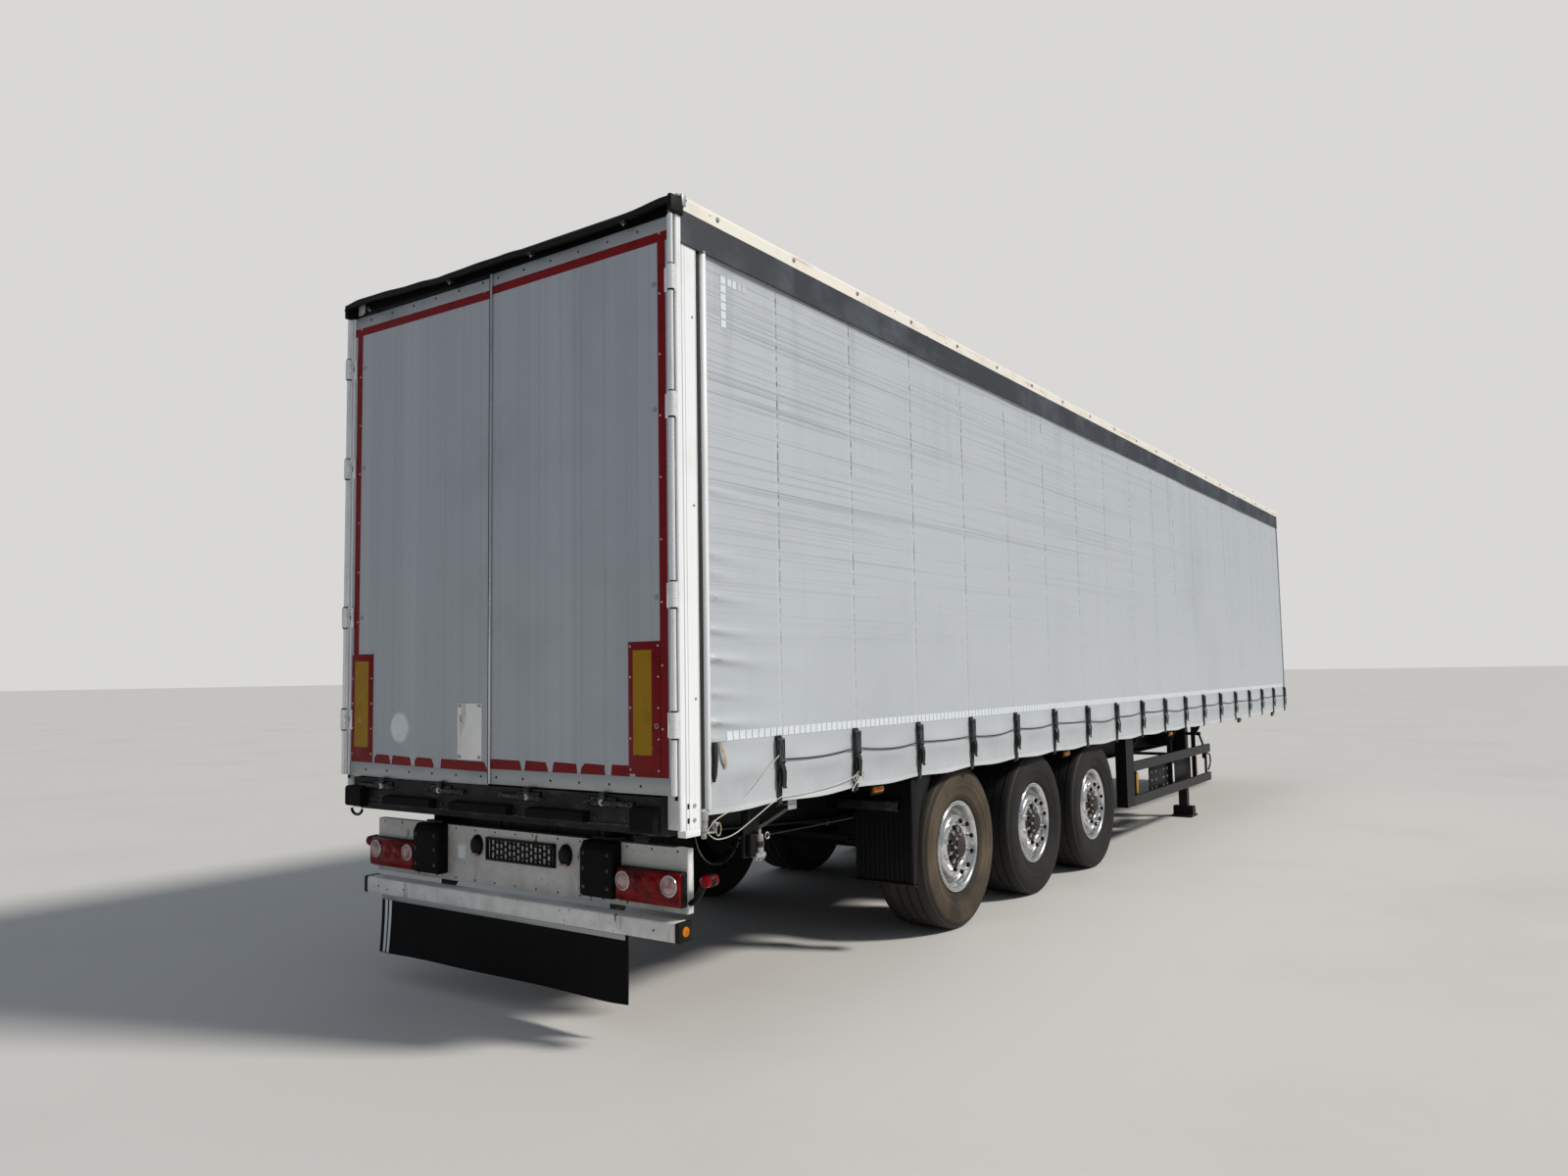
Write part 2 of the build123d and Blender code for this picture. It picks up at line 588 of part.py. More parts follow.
# Axles with their brake drums and spindles
drum_in = wheel_x - DRUM_IN
spindle_end = wheel_x + DISC_OUT - DISC_THICK + SPINDLE_REACH
axles = []
for y in axle_y:
    parts = [rod(AXLE_R, (-drum_in - 20, y, TYRE_R), (drum_in + 20, y, TYRE_R))]
    for side in (-1, 1):
        drum_end = (side * (drum_in + DRUM_LENGTH), y, TYRE_R)
        parts.append(rod(DRUM_R, (side * drum_in, y, TYRE_R), drum_end, 16))
        parts.append(rod(SPINDLE_R, (side * (drum_in + 20), y, TYRE_R), (side * spindle_end, y, TYRE_R)))
    axles.append(joined(parts))
keep("axles", *axles)

# Trailing arms that clamp over the axles, hanger plates under the beams, and the air springs
arm_half = ARM_WIDTH / 2
pivot_z = TYRE_R + PIVOT_RISE
bag_low = TYRE_R + ARM_SEAT
arms = []
bags = []
for y in axle_y:
    pivot = y + ARM_AHEAD
    bag_y = y - BAG_BEHIND
    slot = AXLE_R + SEAT_GAP
    arm = bar([
        (pivot + 40, pivot_z - 40), (pivot + 40, pivot_z + 40), (y + 150, TYRE_R + 100),
        (y - 120, TYRE_R + 92), (bag_y + 100, bag_low), (bag_y - 90, bag_low), (bag_y - 90, bag_low - 20),
        (bag_y + 100, bag_low - 40),
        (y - 90, TYRE_R - 10), (y - slot, TYRE_R - 10), (y - slot, TYRE_R + slot), (y + slot, TYRE_R + slot),
        (y + slot, TYRE_R - 10), (y + 90, TYRE_R - 10),
    ], "X", beam_x - arm_half, beam_x + arm_half)
    hanger = [
        (pivot - 90, beam_low), (pivot + 110, beam_low), (pivot + 60, pivot_z - 50),
        (pivot - 50, pivot_z - 50),
    ]
    arms += mirrored(arm)
    for start in (beam_x - arm_half - SEAT_GAP - HANGER_THICK, beam_x + arm_half + SEAT_GAP):
        arms += mirrored(bar(hanger, "X", start, start + HANGER_THICK))
    bag_section = [
        (bag_low, 0), (bag_low, BAG_FOOT_R), (bag_low + 50, BAG_R), (beam_low - 35, BAG_R),
        (beam_low, BAG_FOOT_R + 20), (beam_low, 0),
    ]
    bags += mirrored(faceted_ring(bag_section, (beam_x, bag_y, 0), (0, 0, 1), 12))
keep("suspension_arms", *arms)
keep("air_springs", *bags)

# Air tanks across the chassis, each on two saddles under a cross member
tanks = []
tank_z = cross_low - 40 - TANK_R
for y in [place for place in cross_y if place > axle_y[-1] + 900][:2]:
    tank_half = TANK_LENGTH / 2
    parts = [rod(TANK_R, (-tank_half, y, tank_z), (tank_half, y, tank_z), 16)]
    for x in (-300.0, 300.0):
        parts.append(bar(rect(y - 40, y + CROSS_WEB, tank_z, cross_low), "X", x - 20, x + 20))
    tanks.append(joined(parts))
keep("air_tanks", *tanks)

# Wheels: a rim with a dished disc and a closed hub, and its tyre
rim_half = RIM_WIDTH / 2
disc_in = DISC_OUT - DISC_THICK
bore_r = SPINDLE_R / math.cos(math.pi / 12) + SPINDLE_GAP
hub_end = DISC_OUT + HUB_LENGTH
rim_section = [
    (disc_in, bore_r), (hub_end - HUB_LID, bore_r), (hub_end - HUB_LID, 0), (hub_end, 0),
    (hub_end, HUB_R), (DISC_OUT, HUB_R + 40), (DISC_OUT, DISC_FLAT_R), (rim_half, FLANGE_R),
    (rim_half - FLANGE_LIP, SEAT_R), (FLANGE_LIP - rim_half, SEAT_R), (-rim_half, FLANGE_R),
    (-rim_half, SEAT_R - 10), (disc_in, SEAT_R - 22),
]
tyre_half = TYRE_WIDTH / 2
bead = rim_half - FLANGE_LIP - SEAT_GAP
half_section = [
    (bead, SEAT_R + SEAT_GAP), (bead, FLANGE_R + 6), (tyre_half, TYRE_R - 118), (tyre_half - 34, TYRE_R),
]
tyre_section = half_section + [(-along, radius) for along, radius in half_section[::-1]]
for number, y in enumerate(axle_y, start=1):
    for side, word in ((1, "right"), (-1, "left")):
        middle = (side * wheel_x, y, TYRE_R)
        keep(f"rim_{number}_{word}", faceted_ring(rim_section, middle, (side, 0, 0), WHEEL_SIDES))
        keep(f"tyre_{number}_{word}", faceted_ring(tyre_section, middle, (side, 0, 0), WHEEL_SIDES))

# Landing legs: housing tubes on mounting plates, inner tubes, feet, cross shaft and crank
tube_half = LEG_TUBE / 2
inner_half = LEG_INNER / 2
leg_top = floor_low - 134
plate_in = LEG_X - tube_half - 8
outer_tube = rect(LEG_X - tube_half, LEG_X + tube_half, leg_y - tube_half, leg_y + tube_half, 10.0)
inner_tube = rect(LEG_X - inner_half, LEG_X + inner_half, leg_y - inner_half, leg_y + inner_half)
leg = joined([
    bar(outer_tube, "Z", LEG_LOW, leg_top),
    bar(inner_tube, "Z", FOOT_HIGH, LEG_LOW),
    bar(rect(leg_y - 200, leg_y + 200, 480.0, leg_top), "X", plate_in, LEG_X - tube_half),
    bar(rect(leg_y - 180, leg_y - 168, beam_low + 30, leg_top), "X", web_out, plate_in),
    bar(rect(leg_y + 168, leg_y + 180, beam_low + 30, leg_top), "X", web_out, plate_in),
])
shaft_reach = LEG_X - tube_half
shaft = rod(SHAFT_R, (8 - shaft_reach, leg_y, 700.0), (shaft_reach - 8, leg_y, 700.0), 8)
crank = joined([
    rod(SHAFT_R, (LEG_X + tube_half, leg_y, SHAFT_Z), (1150.0, leg_y, SHAFT_Z), 8),
    bar(rect(leg_y - 20, leg_y + 20, SHAFT_Z - 20, SHAFT_Z + 20), "X", 1130.0, 1162.0),
    rod(11.0, (1146.0, leg_y, SHAFT_Z), (1146.0, leg_y + 160, SHAFT_Z - 130), 8),
    rod(11.0, (1142.0, leg_y + 156, SHAFT_Z - 130), (1146.0, leg_y + 156, SHAFT_Z - 290), 8),
])
foot_half = FOOT_SIZE / 2
foot = bar([
    (leg_y - foot_half, 0.0), (leg_y + foot_half, 0.0), (leg_y + foot_half, FOOT_PAD),
    (leg_y + 60, FOOT_PAD + 6), (leg_y + 50, FOOT_HIGH), (leg_y - 50, FOOT_HIGH),
    (leg_y - 60, FOOT_PAD + 6), (leg_y - foot_half, FOOT_PAD),
], "X", LEG_X - 110, LEG_X + 110)
keep("landing_legs", *mirrored(leg), shaft, crank)
keep("leg_feet", *mirrored(foot))

# Side guards: two rails on uprights that hang under the side rail
guard_in = GUARD_X - GUARD_THICK
guard_rear = axle_y[-1] + GUARD_AHEAD
guard_parts = []
for low in GUARD_LOWS:
    outline = rect(guard_in, GUARD_X, low, low + GUARD_HEIGHT)
    guard_parts.append(bar(outline, "Y", guard_rear, guard_rear + GUARD_LENGTH))
upright = [
    (guard_in - 46, GUARD_LOWS[0]), (guard_in, GUARD_LOWS[0]), (guard_in, 940.0), (rave_out - 10, 1030.0),
    (rave_out - 10, rave_low), (guard_in - 46, rave_low),
]
for place in GUARD_POSTS:
    y = guard_rear + place
    guard_parts.append(bar(upright, "Y", y - 4, y + 4))
keep("side_guards", *mirrored(joined(guard_parts)))

# Wings: a sheet with a turned edge, on a bracket behind the last wheel, and a post ahead of the first
wing_y = axle_y[0] - TYRE_R - WING_GAP
wing_sheet = bar(rect(WING_IN, WING_OUT, wing_y - 6, wing_y), "Z", WING_LOW, rave_low + 32)
wing_edge = bar(rect(WING_OUT, WING_OUT + 6, wing_y - 6, wing_y + 110), "Z", WING_LOW, rave_low - 18)
wings = [
    wing_sheet + wing_edge,
    bar(rect(web_out, WING_OUT - 70, wing_y - 46, wing_y - 6), "Z", beam_low + 70, beam_low + 130),
    bar(rect(WING_OUT - 88, WING_OUT + 14, guard_rear - 230, guard_rear - 10), "Z", WING_LOW + 13, rave_low),
]
keep("mud_wings", *mirrored(*wings))

# Raising valve box under the right side rail, with its lever
valve_low = rave_low - VALVE_DROP
lever = [
    (VALVE_Y - 8, rave_low - 93), (VALVE_Y + 8, rave_low - 93), (VALVE_Y + 130, rave_low),
    (VALVE_Y + 110, rave_low),
]
valve = joined([
    bar(rect(VALVE_Y - 55, VALVE_Y + 55, valve_low, valve_low + 100), "X", VALVE_X, VALVE_X + 55),
    bar(rect(VALVE_Y - 8, VALVE_Y + 8, valve_low + 95, rave_low - 78), "X", VALVE_X + 20, VALVE_X + 36),
    bar(lever, "X", VALVE_X + 20, rave_out - 30),
])
keep("valve_unit", valve)

os.makedirs("parts", exist_ok=True)
for name, solids in nodes.items():
    export_step(solids[0] if len(solids) == 1 else Compound(children=solids), f"parts/{name}.step")
print(len(nodes), "nodes")
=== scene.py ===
"""Looks of a three axle curtain side semi trailer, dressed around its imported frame.

Metres, +X to the trailer's right, +Y towards the kingpin, +Z up, ground at 0.
Places along the trailer are given ahead of the rear face of its doors, see ahead().
"""

import random
from math import cos, exp, hypot, pi, radians, sin

import bmesh
import bpy
from mathutils import Matrix, Vector, noise


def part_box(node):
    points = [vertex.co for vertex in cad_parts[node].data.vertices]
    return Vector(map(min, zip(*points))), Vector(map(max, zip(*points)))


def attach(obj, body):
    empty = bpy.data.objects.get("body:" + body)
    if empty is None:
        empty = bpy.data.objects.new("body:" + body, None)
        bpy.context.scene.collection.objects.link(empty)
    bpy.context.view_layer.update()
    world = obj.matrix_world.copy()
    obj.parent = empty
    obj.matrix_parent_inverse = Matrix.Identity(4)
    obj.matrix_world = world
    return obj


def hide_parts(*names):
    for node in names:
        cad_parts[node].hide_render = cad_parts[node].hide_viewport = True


bl_info = {
    "name": "Curtain side semi trailer",
    "version": (1, 0, 0),
    "blender": (4, 5, 0),
    "location": "View3D > Sidebar > Trailer",
    "description": "Dresses the packed frame of a curtain side semi trailer",
    "category": "Object",
}

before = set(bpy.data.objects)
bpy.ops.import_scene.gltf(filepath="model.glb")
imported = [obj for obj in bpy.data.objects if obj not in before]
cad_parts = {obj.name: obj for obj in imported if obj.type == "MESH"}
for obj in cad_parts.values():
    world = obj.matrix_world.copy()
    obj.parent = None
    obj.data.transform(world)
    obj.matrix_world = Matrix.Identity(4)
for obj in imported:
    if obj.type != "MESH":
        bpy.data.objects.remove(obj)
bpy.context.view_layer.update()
DOOR_THICK = 0.028
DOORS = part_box("door_right")[1].y - DOOR_THICK
DOOR_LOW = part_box("door_right")[0].z
DOOR_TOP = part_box("door_right")[1].z
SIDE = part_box("valances")[1].x
RAIL_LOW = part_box("roof_rails")[0].z
CURTAIN_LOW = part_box("curtains")[0].z
CURTAIN_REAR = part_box("curtains")[0].y - DOORS
CURTAIN_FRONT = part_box("curtains")[1].y - DOORS
CURTAIN_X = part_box("curtains")[1].x
SEAM = (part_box("door_right")[0].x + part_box("door_left")[1].x) / 2
TYRE_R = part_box("tyre_1_right")[1].z / 2
SIDES = (("right", 1), ("left", -1))


def ahead(y):
    """Frame place of a distance ahead of the doors' rear face."""
    return DOORS + y


def linear(colour):
    """An sRGB hex colour as the linear RGBA that sockets take."""
    values = [int(colour[start:start + 2], 16) / 255 for start in (1, 3, 5)]
    return [v / 12.92 if v <= 0.04045 else ((v + 0.055) / 1.055) ** 2.4 for v in values] + [1.0]


# Sizes and colours that a user would change


class TrailerBodyLook(bpy.types.PropertyGroup):
    curtain_colour: bpy.props.FloatVectorProperty(
        name="Curtain", description="Coated cloth of the side curtains", subtype="COLOR", size=4,
        default=linear("#BBC1C6"), min=0, max=1)
    valance_colour: bpy.props.FloatVectorProperty(
        name="Valance", description="Dark cloth over the curtain rollers", subtype="COLOR", size=4,
        default=linear("#2A2F35"), min=0, max=1)
    door_colour: bpy.props.FloatVectorProperty(
        name="Doors", description="Anodised planks of the rear doors", subtype="COLOR", size=4,
        default=linear("#B3B9C0"), min=0, max=1)
    tape_colour: bpy.props.FloatVectorProperty(
        name="Contour tape", description="Reflective tape round the doors", subtype="COLOR", size=4,
        default=linear("#7A0812"), min=0, max=1)
    ripple: bpy.props.FloatProperty(
        name="Ripple", description="Depth of the curtain's soft waves", unit="LENGTH", default=0.0045)
    strap_first: bpy.props.FloatProperty(
        name="First strap", description="First strap ahead of the doors", unit="LENGTH", default=0.775)
    strap_pitch: bpy.props.FloatProperty(
        name="Strap pitch", description="Distance between curtain straps", unit="LENGTH", default=0.75)
    strap_count: bpy.props.IntProperty(name="Straps", description="Straps on each side", default=18, min=1)
    rivet_pitch: bpy.props.FloatProperty(
        name="Rivet pitch", description="Distance between the door rivets", unit="LENGTH", default=0.2)


class TrailerWheelLook(bpy.types.PropertyGroup):
    groove_depth: bpy.props.FloatProperty(
        name="Groove depth", description="Depth of the tread grooves", unit="LENGTH", default=0.011)
    groove_width: bpy.props.FloatProperty(
        name="Groove width", description="Width of the tread grooves", unit="LENGTH", default=0.014)
    nut_count: bpy.props.IntProperty(name="Wheel nuts", description="Nuts on each wheel", default=10, min=3)
    nut_ring: bpy.props.FloatProperty(
        name="Nut ring", description="Radius of the ring of nuts", unit="LENGTH", default=0.1675)
    rubber_colour: bpy.props.FloatVectorProperty(
        name="Rubber", description="Dusty tyre rubber", subtype="COLOR", size=4,
        default=linear("#151515"), min=0, max=1)


class TrailerStageLook(bpy.types.PropertyGroup):
    floor_colour: bpy.props.FloatVectorProperty(
        name="Floor", description="Plain studio floor", subtype="COLOR", size=4,
        default=linear("#D6D4D0"), min=0, max=1)
    key_strength: bpy.props.FloatProperty(
        name="Key light", description="Strength of the soft key light", default=2.85, min=0)
    fill_strength: bpy.props.FloatProperty(
        name="Fill light", description="Strength of the pale surroundings", default=0.34, min=0)
    camera_place: bpy.props.FloatVectorProperty(
        name="Camera", description="Where the camera stands", subtype="TRANSLATION", unit="LENGTH",
        default=(4.5162, -10.5723, 1.7125))
    camera_turn: bpy.props.FloatVectorProperty(
        name="Camera turn", description="Heading to the left, upward tilt and roll", size=3, unit="ROTATION",
        default=[radians(angle) for angle in (35.027, 4.4408, -0.9365)])
    lens: bpy.props.FloatProperty(name="Lens", description="Focal length in millimetres", default=25.076)


# Materials

PANEL_WIDTH = 0.73
PLANK_WIDTH = 0.1505
PLANK_RIB = 0.0188
DRAWN_CELL = 0.008
LENS_RIB, LENS_ROW = 0.011, 0.013


def node(tree, kind, inputs=None, **settings):
    """Add one node with its settings, and its inputs as values or as links from sockets, for its outputs."""
    made = tree.nodes.new(kind)
    for name, value in settings.items():
        setattr(made, name, value)
    for key, value in (inputs or {}).items():
        if isinstance(value, bpy.types.NodeSocket):
            tree.links.new(value, made.inputs[key])
        else:
            made.inputs[key].default_value = value
    return made.outputs


class Finish:
    """A material in the making: a colour that drifts to a worn one, and grain in roughness and bump."""

    def __init__(self, name, colour, worn, rough, metal=0.0, patch=0.35, cover=0.5, grain=0.004, bump=0.0004,
                 **sockets):
        made = bpy.data.materials.new(name)
        made.use_nodes = True
        self.tree = tree = made.node_tree
        self.shader = tree.nodes["Principled BSDF"].inputs
        self.shader["Metallic"].default_value = metal
        for key, value in sockets.items():
            self.shader[key.replace("_", " ")].default_value = value
        self.place = node(tree, "ShaderNodeTexCoord")["Object"]
        self.axes = node(tree, "ShaderNodeSeparateXYZ", {"Vector": self.place})
        patches = node(tree, "ShaderNodeTexNoise",
                       {"Vector": self.place, "Scale": 1 / patch, "Detail": 7.0, "Roughness": 0.62})[0]
        share = node(tree, "ShaderNodeMapRange",
                     {"Value": patches, "From Min": 0.62 - 0.3 * cover, "From Max": 0.85 - 0.3 * cover})[0]
        self.colour = self.rgba(colour)
        self.over(worn, share)
        fine = node(tree, "ShaderNodeTexNoise", {"Vector": self.place, "Scale": 1 / grain, "Detail": 3.0})[0]
        self.rough = node(tree, "ShaderNodeMapRange",
                          {"Value": fine, "From Min": 0.25, "From Max": 0.75,
                           "To Min": max(rough - 0.07, 0.02), "To Max": min(rough + 0.07, 1.0)})[0]
        self.height = self.product(fine, bump)

    @staticmethod
    def rgba(colour):
        return linear(colour) if isinstance(colour, str) else list(colour)

    def product(self, first, *others):
        """Shares, depths or a number multiplied with one another."""
        for other in others:
            first = node(self.tree, "ShaderNodeMath", {0: first, 1: other}, operation="MULTIPLY")[0]
        return first

    def over(self, colour, *shares):
        """Lay a colour over what is there, by the product of shares from 0 to 1."""
        layers = {0: self.product(*shares), 6: self.colour, 7: self.rgba(colour)}
        self.colour = node(self.tree, "ShaderNodeMix", layers, data_type="RGBA")[2]
        return self

    def band(self, value, low, high, edge=0.002):
        """1 where a socket's value lies between two limits, and 0 outside, with soft edges."""
        rise = node(self.tree, "ShaderNodeMapRange",
                    {"Value": value, "From Min": low - edge, "From Max": low + edge})[0]
        fall = node(self.tree, "ShaderNodeMapRange",
                    {"Value": value, "From Min": high - edge, "From Max": high + edge, "To Min": 1.0,
                     "To Max": 0.0})[0]
        return self.product(rise, fall)

    def waves(self, value, pitch):
        """A sine wave along a value, one wave for each pitch in metres."""
        turns = self.product(value, 2 * pi / pitch)
        return node(self.tree, "ShaderNodeMath", {0: turns}, operation="SINE")[0]

    def repeat(self, value, pitch, shift=0.0):
        """How many pitches lie under a value, and how far it is through the last one, from 0 to 1."""
        count = node(self.tree, "ShaderNodeMath", {0: value, 1: 1 / pitch, 2: shift},
                     operation="MULTIPLY_ADD")[0]
        return count, node(self.tree, "ShaderNodeMath", {0: count}, operation="FRACT")[0]

    def streaks(self, scale, low, high, detail=4.0):
        """Noise that is stretched by an XYZ scale per metre, as a share between two thresholds."""
        turned = node(self.tree, "ShaderNodeMapping", {"Vector": self.place, "Scale": scale})[0]
        spread = node(self.tree, "ShaderNodeTexNoise",
                      {"Vector": turned, "Scale": 1.0, "Detail": detail, "Roughness": 0.55})[0]
        return node(self.tree, "ShaderNodeMapRange", {"Value": spread, "From Min": low, "From Max": high})[0]

    def stain(self, colour, most, *streaks):
        """Streaks of a colour, with its greatest share."""
        return self.over(colour, self.streaks(*streaks), most)

    def raise_by(self, share, depth):
        """Add a pattern's height in metres to the bump."""
        self.height = node(self.tree, "ShaderNodeMath", {0: share, 1: depth, 2: self.height},
                           operation="MULTIPLY_ADD")[0]
        return self

    def roughen(self, share, rough):
        """Bring the roughness to another value where a pattern lies."""
        self.rough = node(self.tree, "ShaderNodeMix", {0: share, 2: self.rough, 3: rough})[0]
        return self

    def dusty(self, colour, low, high, most):
        """Dust that thins out from a low height to a high one, broken by noise."""
        climb = node(self.tree, "ShaderNodeMapRange",
                     {"Value": self.axes[2], "From Min": low, "From Max": high, "To Min": most,
                      "To Max": 0.0})[0]
        return self.over(colour, climb, self.streaks((9, 9, 9), 0.3, 0.7))

    def done(self):
        bump = node(self.tree, "ShaderNodeBump", {"Height": self.height, "Distance": 1.0, "Strength": 1.0})[0]
        for key, value in (("Normal", bump), ("Roughness", self.rough), ("Base Color", self.colour)):
            self.tree.links.new(value, self.shader[key])


def curtain_cloth(name, colour, seams=True):
    """PVC coated polyester: satin, welded seams with grime in their stitches, storage creases, road film."""
    made = Finish(name, colour, "#B2B8BD", 0.42, patch=1.8, cover=0.3, grain=0.0022, bump=0.00006,
                  Specular_IOR_Level=0.4)
    tree, (_, ahead_of, above) = made.tree, made.axes
    made.stain("#A3A9AE", 0.16, (1, 5, 0.3), 0.5, 0.8).stain("#8A8F93", 0.09, (1, 24, 0.5), 0.58, 0.78)
    # Runs of dirt from under the valance
    high = node(tree, "ShaderNodeMapRange", {"Value": above, "From Min": 2.7, "From Max": 3.7})[0]
    made.over("#858B90", made.streaks((1, 7, 0.35), 0.56, 0.72), high, 0.3)
    if seams:
        # Cloth panels 0.73 m wide: a pale lap beside a broken dark line
        start = node(tree, "ShaderNodeMath", {0: ahead_of, 1: DOORS + 0.82}, operation="SUBTRACT")[0]
        turn = made.repeat(start, PANEL_WIDTH, 0.5)[1]
        line = made.band(turn, 0.4925, 0.5075, 0.003)
        lap = made.band(turn, 0.455, 0.494, 0.003)
        broken = made.streaks((1, 1, 30), 0.42, 0.58)
        upward = node(tree, "ShaderNodeMapRange",
                      {"Value": above, "From Min": 1.5, "From Max": 2.9, "To Min": 0.25, "To Max": 0.95})[0]
        made.over("#D3D7DA", lap, 0.12).over("#596067", line, broken, upward)
        made.raise_by(line, -0.0004).raise_by(lap, 0.0004)
        # Creases from rolling: long thin lines, nearly level, that fade ahead and downwards; their darker
        # colour is painted shade, over a shallow groove in the bump
        near = node(tree, "ShaderNodeMapRange", {"Value": ahead_of, "From Min": DOORS + 1.2,
                                                 "From Max": DOORS + 9.5, "To Min": 1.0, "To Max": 0.2})[0]
        upper = node(tree, "ShaderNodeMapRange", {"Value": above, "From Min": 1.7, "From Max": 2.8})[0]
        fade = made.product(near, upper)
        for scale, low, most in (((1, 0.45, 78), 0.57, 0.26), ((1, 0.16, 50), 0.62, 0.34)):
            thin = made.product(made.streaks(scale, low, low + 0.05, 1.0), fade)
            made.over("#7C8287", thin, most).raise_by(thin, -0.0004)
        made.dusty("#8B8173", 1.05, 1.5, 0.16)
    made.done()


def plank_aluminium(name, colour):
    """Anodised extruded planks: 150 mm wide with fine ribs, each plank its own slight shade."""
    made = Finish(name, colour, "#A5ABB2", 0.5, metal=0.25, patch=0.9, cover=0.3, grain=0.003, bump=0.00006)
    tree, across = made.tree, made.axes[0]
    count, through = made.repeat(across, PLANK_WIDTH, 9.12)
    plank = node(tree, "ShaderNodeMath", {0: count}, operation="FLOOR")[0]
    shade = node(tree, "ShaderNodeTexWhiteNoise", {"W": plank}, noise_dimensions="1D")[0]
    made.over("#9BA2A9", shade, 0.32).stain("#8D949B", 0.14, (26, 1, 0.1), 0.45, 0.75, 2.0)
    joint = made.band(through, 0.487, 0.5, 0.006)
    made.over("#70767C", joint, 0.4).raise_by(joint, -0.0006)
    made.raise_by(made.waves(across, PLANK_RIB), 0.00025)
    # Hinge leaves and edge bars beside the planks are bright metal, painted near white as well: a painted
    # reflection that keeps them bright in the shade
    out = node(tree, "ShaderNodeMath", {0: across}, operation="ABSOLUTE")[0]
    outer = node(tree, "ShaderNodeMath", {0: out, 1: 1.2335}, operation="GREATER_THAN")[0]
    made.over("#EEF0F2", outer).roughen(outer, 0.3)
    made.dusty("#7B7468", 1.16, 1.5, 0.16)
    made.done()


def post_enamel(name):
    """White powder coat with grime in streaks; the hinge side is bare bright metal."""
    made = Finish(name, "#F2F4F5", "#E3E5E5", 0.34, patch=0.5, cover=0.3)
    made.stain("#9A978F", 0.16, (30, 30, 1.1), 0.6, 0.78)
    bare = node(made.tree, "ShaderNodeMath", {0: made.axes[1], 1: DOORS + 0.0135}, operation="LESS_THAN")[0]
    made.over("#E4E6E8", bare).roughen(bare, 0.28)
    made.dusty("#8F8676", 1.0, 1.4, 0.2)
    made.done()


def scuffed_enamel(name, colour, worn, dirt):
    """Off-white enamel of the rear end: scratches, chips to black and rust, more of them with more dirt."""
    made = Finish(name, colour, worn, 0.38, patch=0.3, cover=0.4)
    made.stain("#A9A69D", 0.55, (14, 4, 3), 0.62, 0.68)
    chips = made.streaks((48, 40, 60), 0.695, 0.705, 2.0)
    made.over("#1E1C1A", chips, made.streaks((3, 3, 5), 0.56 - 0.1 * dirt, 0.6 - 0.1 * dirt))
    made.over("#7A4A24", made.streaks((22, 18, 9), 0.62, 0.68),
              made.streaks((2.2, 3, 2), 0.6 - 0.12 * dirt, 0.64 - 0.12 * dirt)).raise_by(chips, -0.0002)
    made.dusty("#6E675A", 0.45, 1.0, 0.2 + 0.4 * dirt)
    made.done()


def tread_rubber(name, colour, dust_colour, most):
    """Trailer tyre rubber: matt, road dust on the side wall, fine rings and worn tread."""
    made = Finish(name, colour, "#242321", 0.75, patch=0.16, grain=0.003, bump=0.0003, Specular_IOR_Level=0.3)
    tree = made.tree
    # The piece's UV holds turns round the wheel and metres along the section
    path = node(tree, "ShaderNodeUVMap", uv_map="section")[0]
    turn, along, _ = node(tree, "ShaderNodeSeparateXYZ", {"Vector": path})
    rings = made.waves(along, 0.007)
    wall = node(tree, "ShaderNodeMath", {0: along, 1: 0.22}, operation="LESS_THAN")[0]
    made.raise_by(made.product(rings, wall), 0.0004)
    # The tread is painted a lighter grey than the wall: painted light on the tread
    made.over("#2A2827", made.band(along, 0.262, 0.62))
    held = node(tree, "ShaderNodeMath", {0: wall, 1: 0.8, 2: 0.2}, operation="MULTIPLY_ADD")[0]
    made.over(dust_colour, made.product(made.streaks((2.8, 2.8, 2.8), 0.22, 0.72), most), held)
    # Fine rings of the mould hold the dust unevenly
    ringed = node(tree, "ShaderNodeTexNoise", {"W": along, "Scale": 230.0, "Detail": 2.0},
                  noise_dimensions="1D")[0]
    ringed = node(tree, "ShaderNodeMapRange", {"Value": ringed, "From Min": 0.5, "From Max": 0.68})[0]
    made.over("#24201C", ringed, wall, 0.75)
    # The wall is darker beside the rim, where the dust rubs off
    made.over("#211F1D", made.band(along, -0.1, 0.062, 0.02), 0.6)
    # Moulded rings show as darker lines, painted shade in them, and a pale line along the shoulder is a
    # painted highlight
    lines = node(tree, "ShaderNodeMath", {0: made.repeat(along, 1 / 56)[1], 1: 0.3}, operation="LESS_THAN")[0]
    made.over("#0E0D0D", lines, wall, 0.35)
    made.over("#5A564F", made.band(along, 0.247, 0.256, 0.004), 0.5)
    # Fine cuts across the tread, 150 round the wheel
    cuts = node(tree, "ShaderNodeMath", {0: made.repeat(turn, 1 / 150)[1], 1: 0.12}, operation="LESS_THAN")[0]
    made.raise_by(made.product(cuts, made.band(along, 0.26, 0.62)), -0.0006)
    made.done()


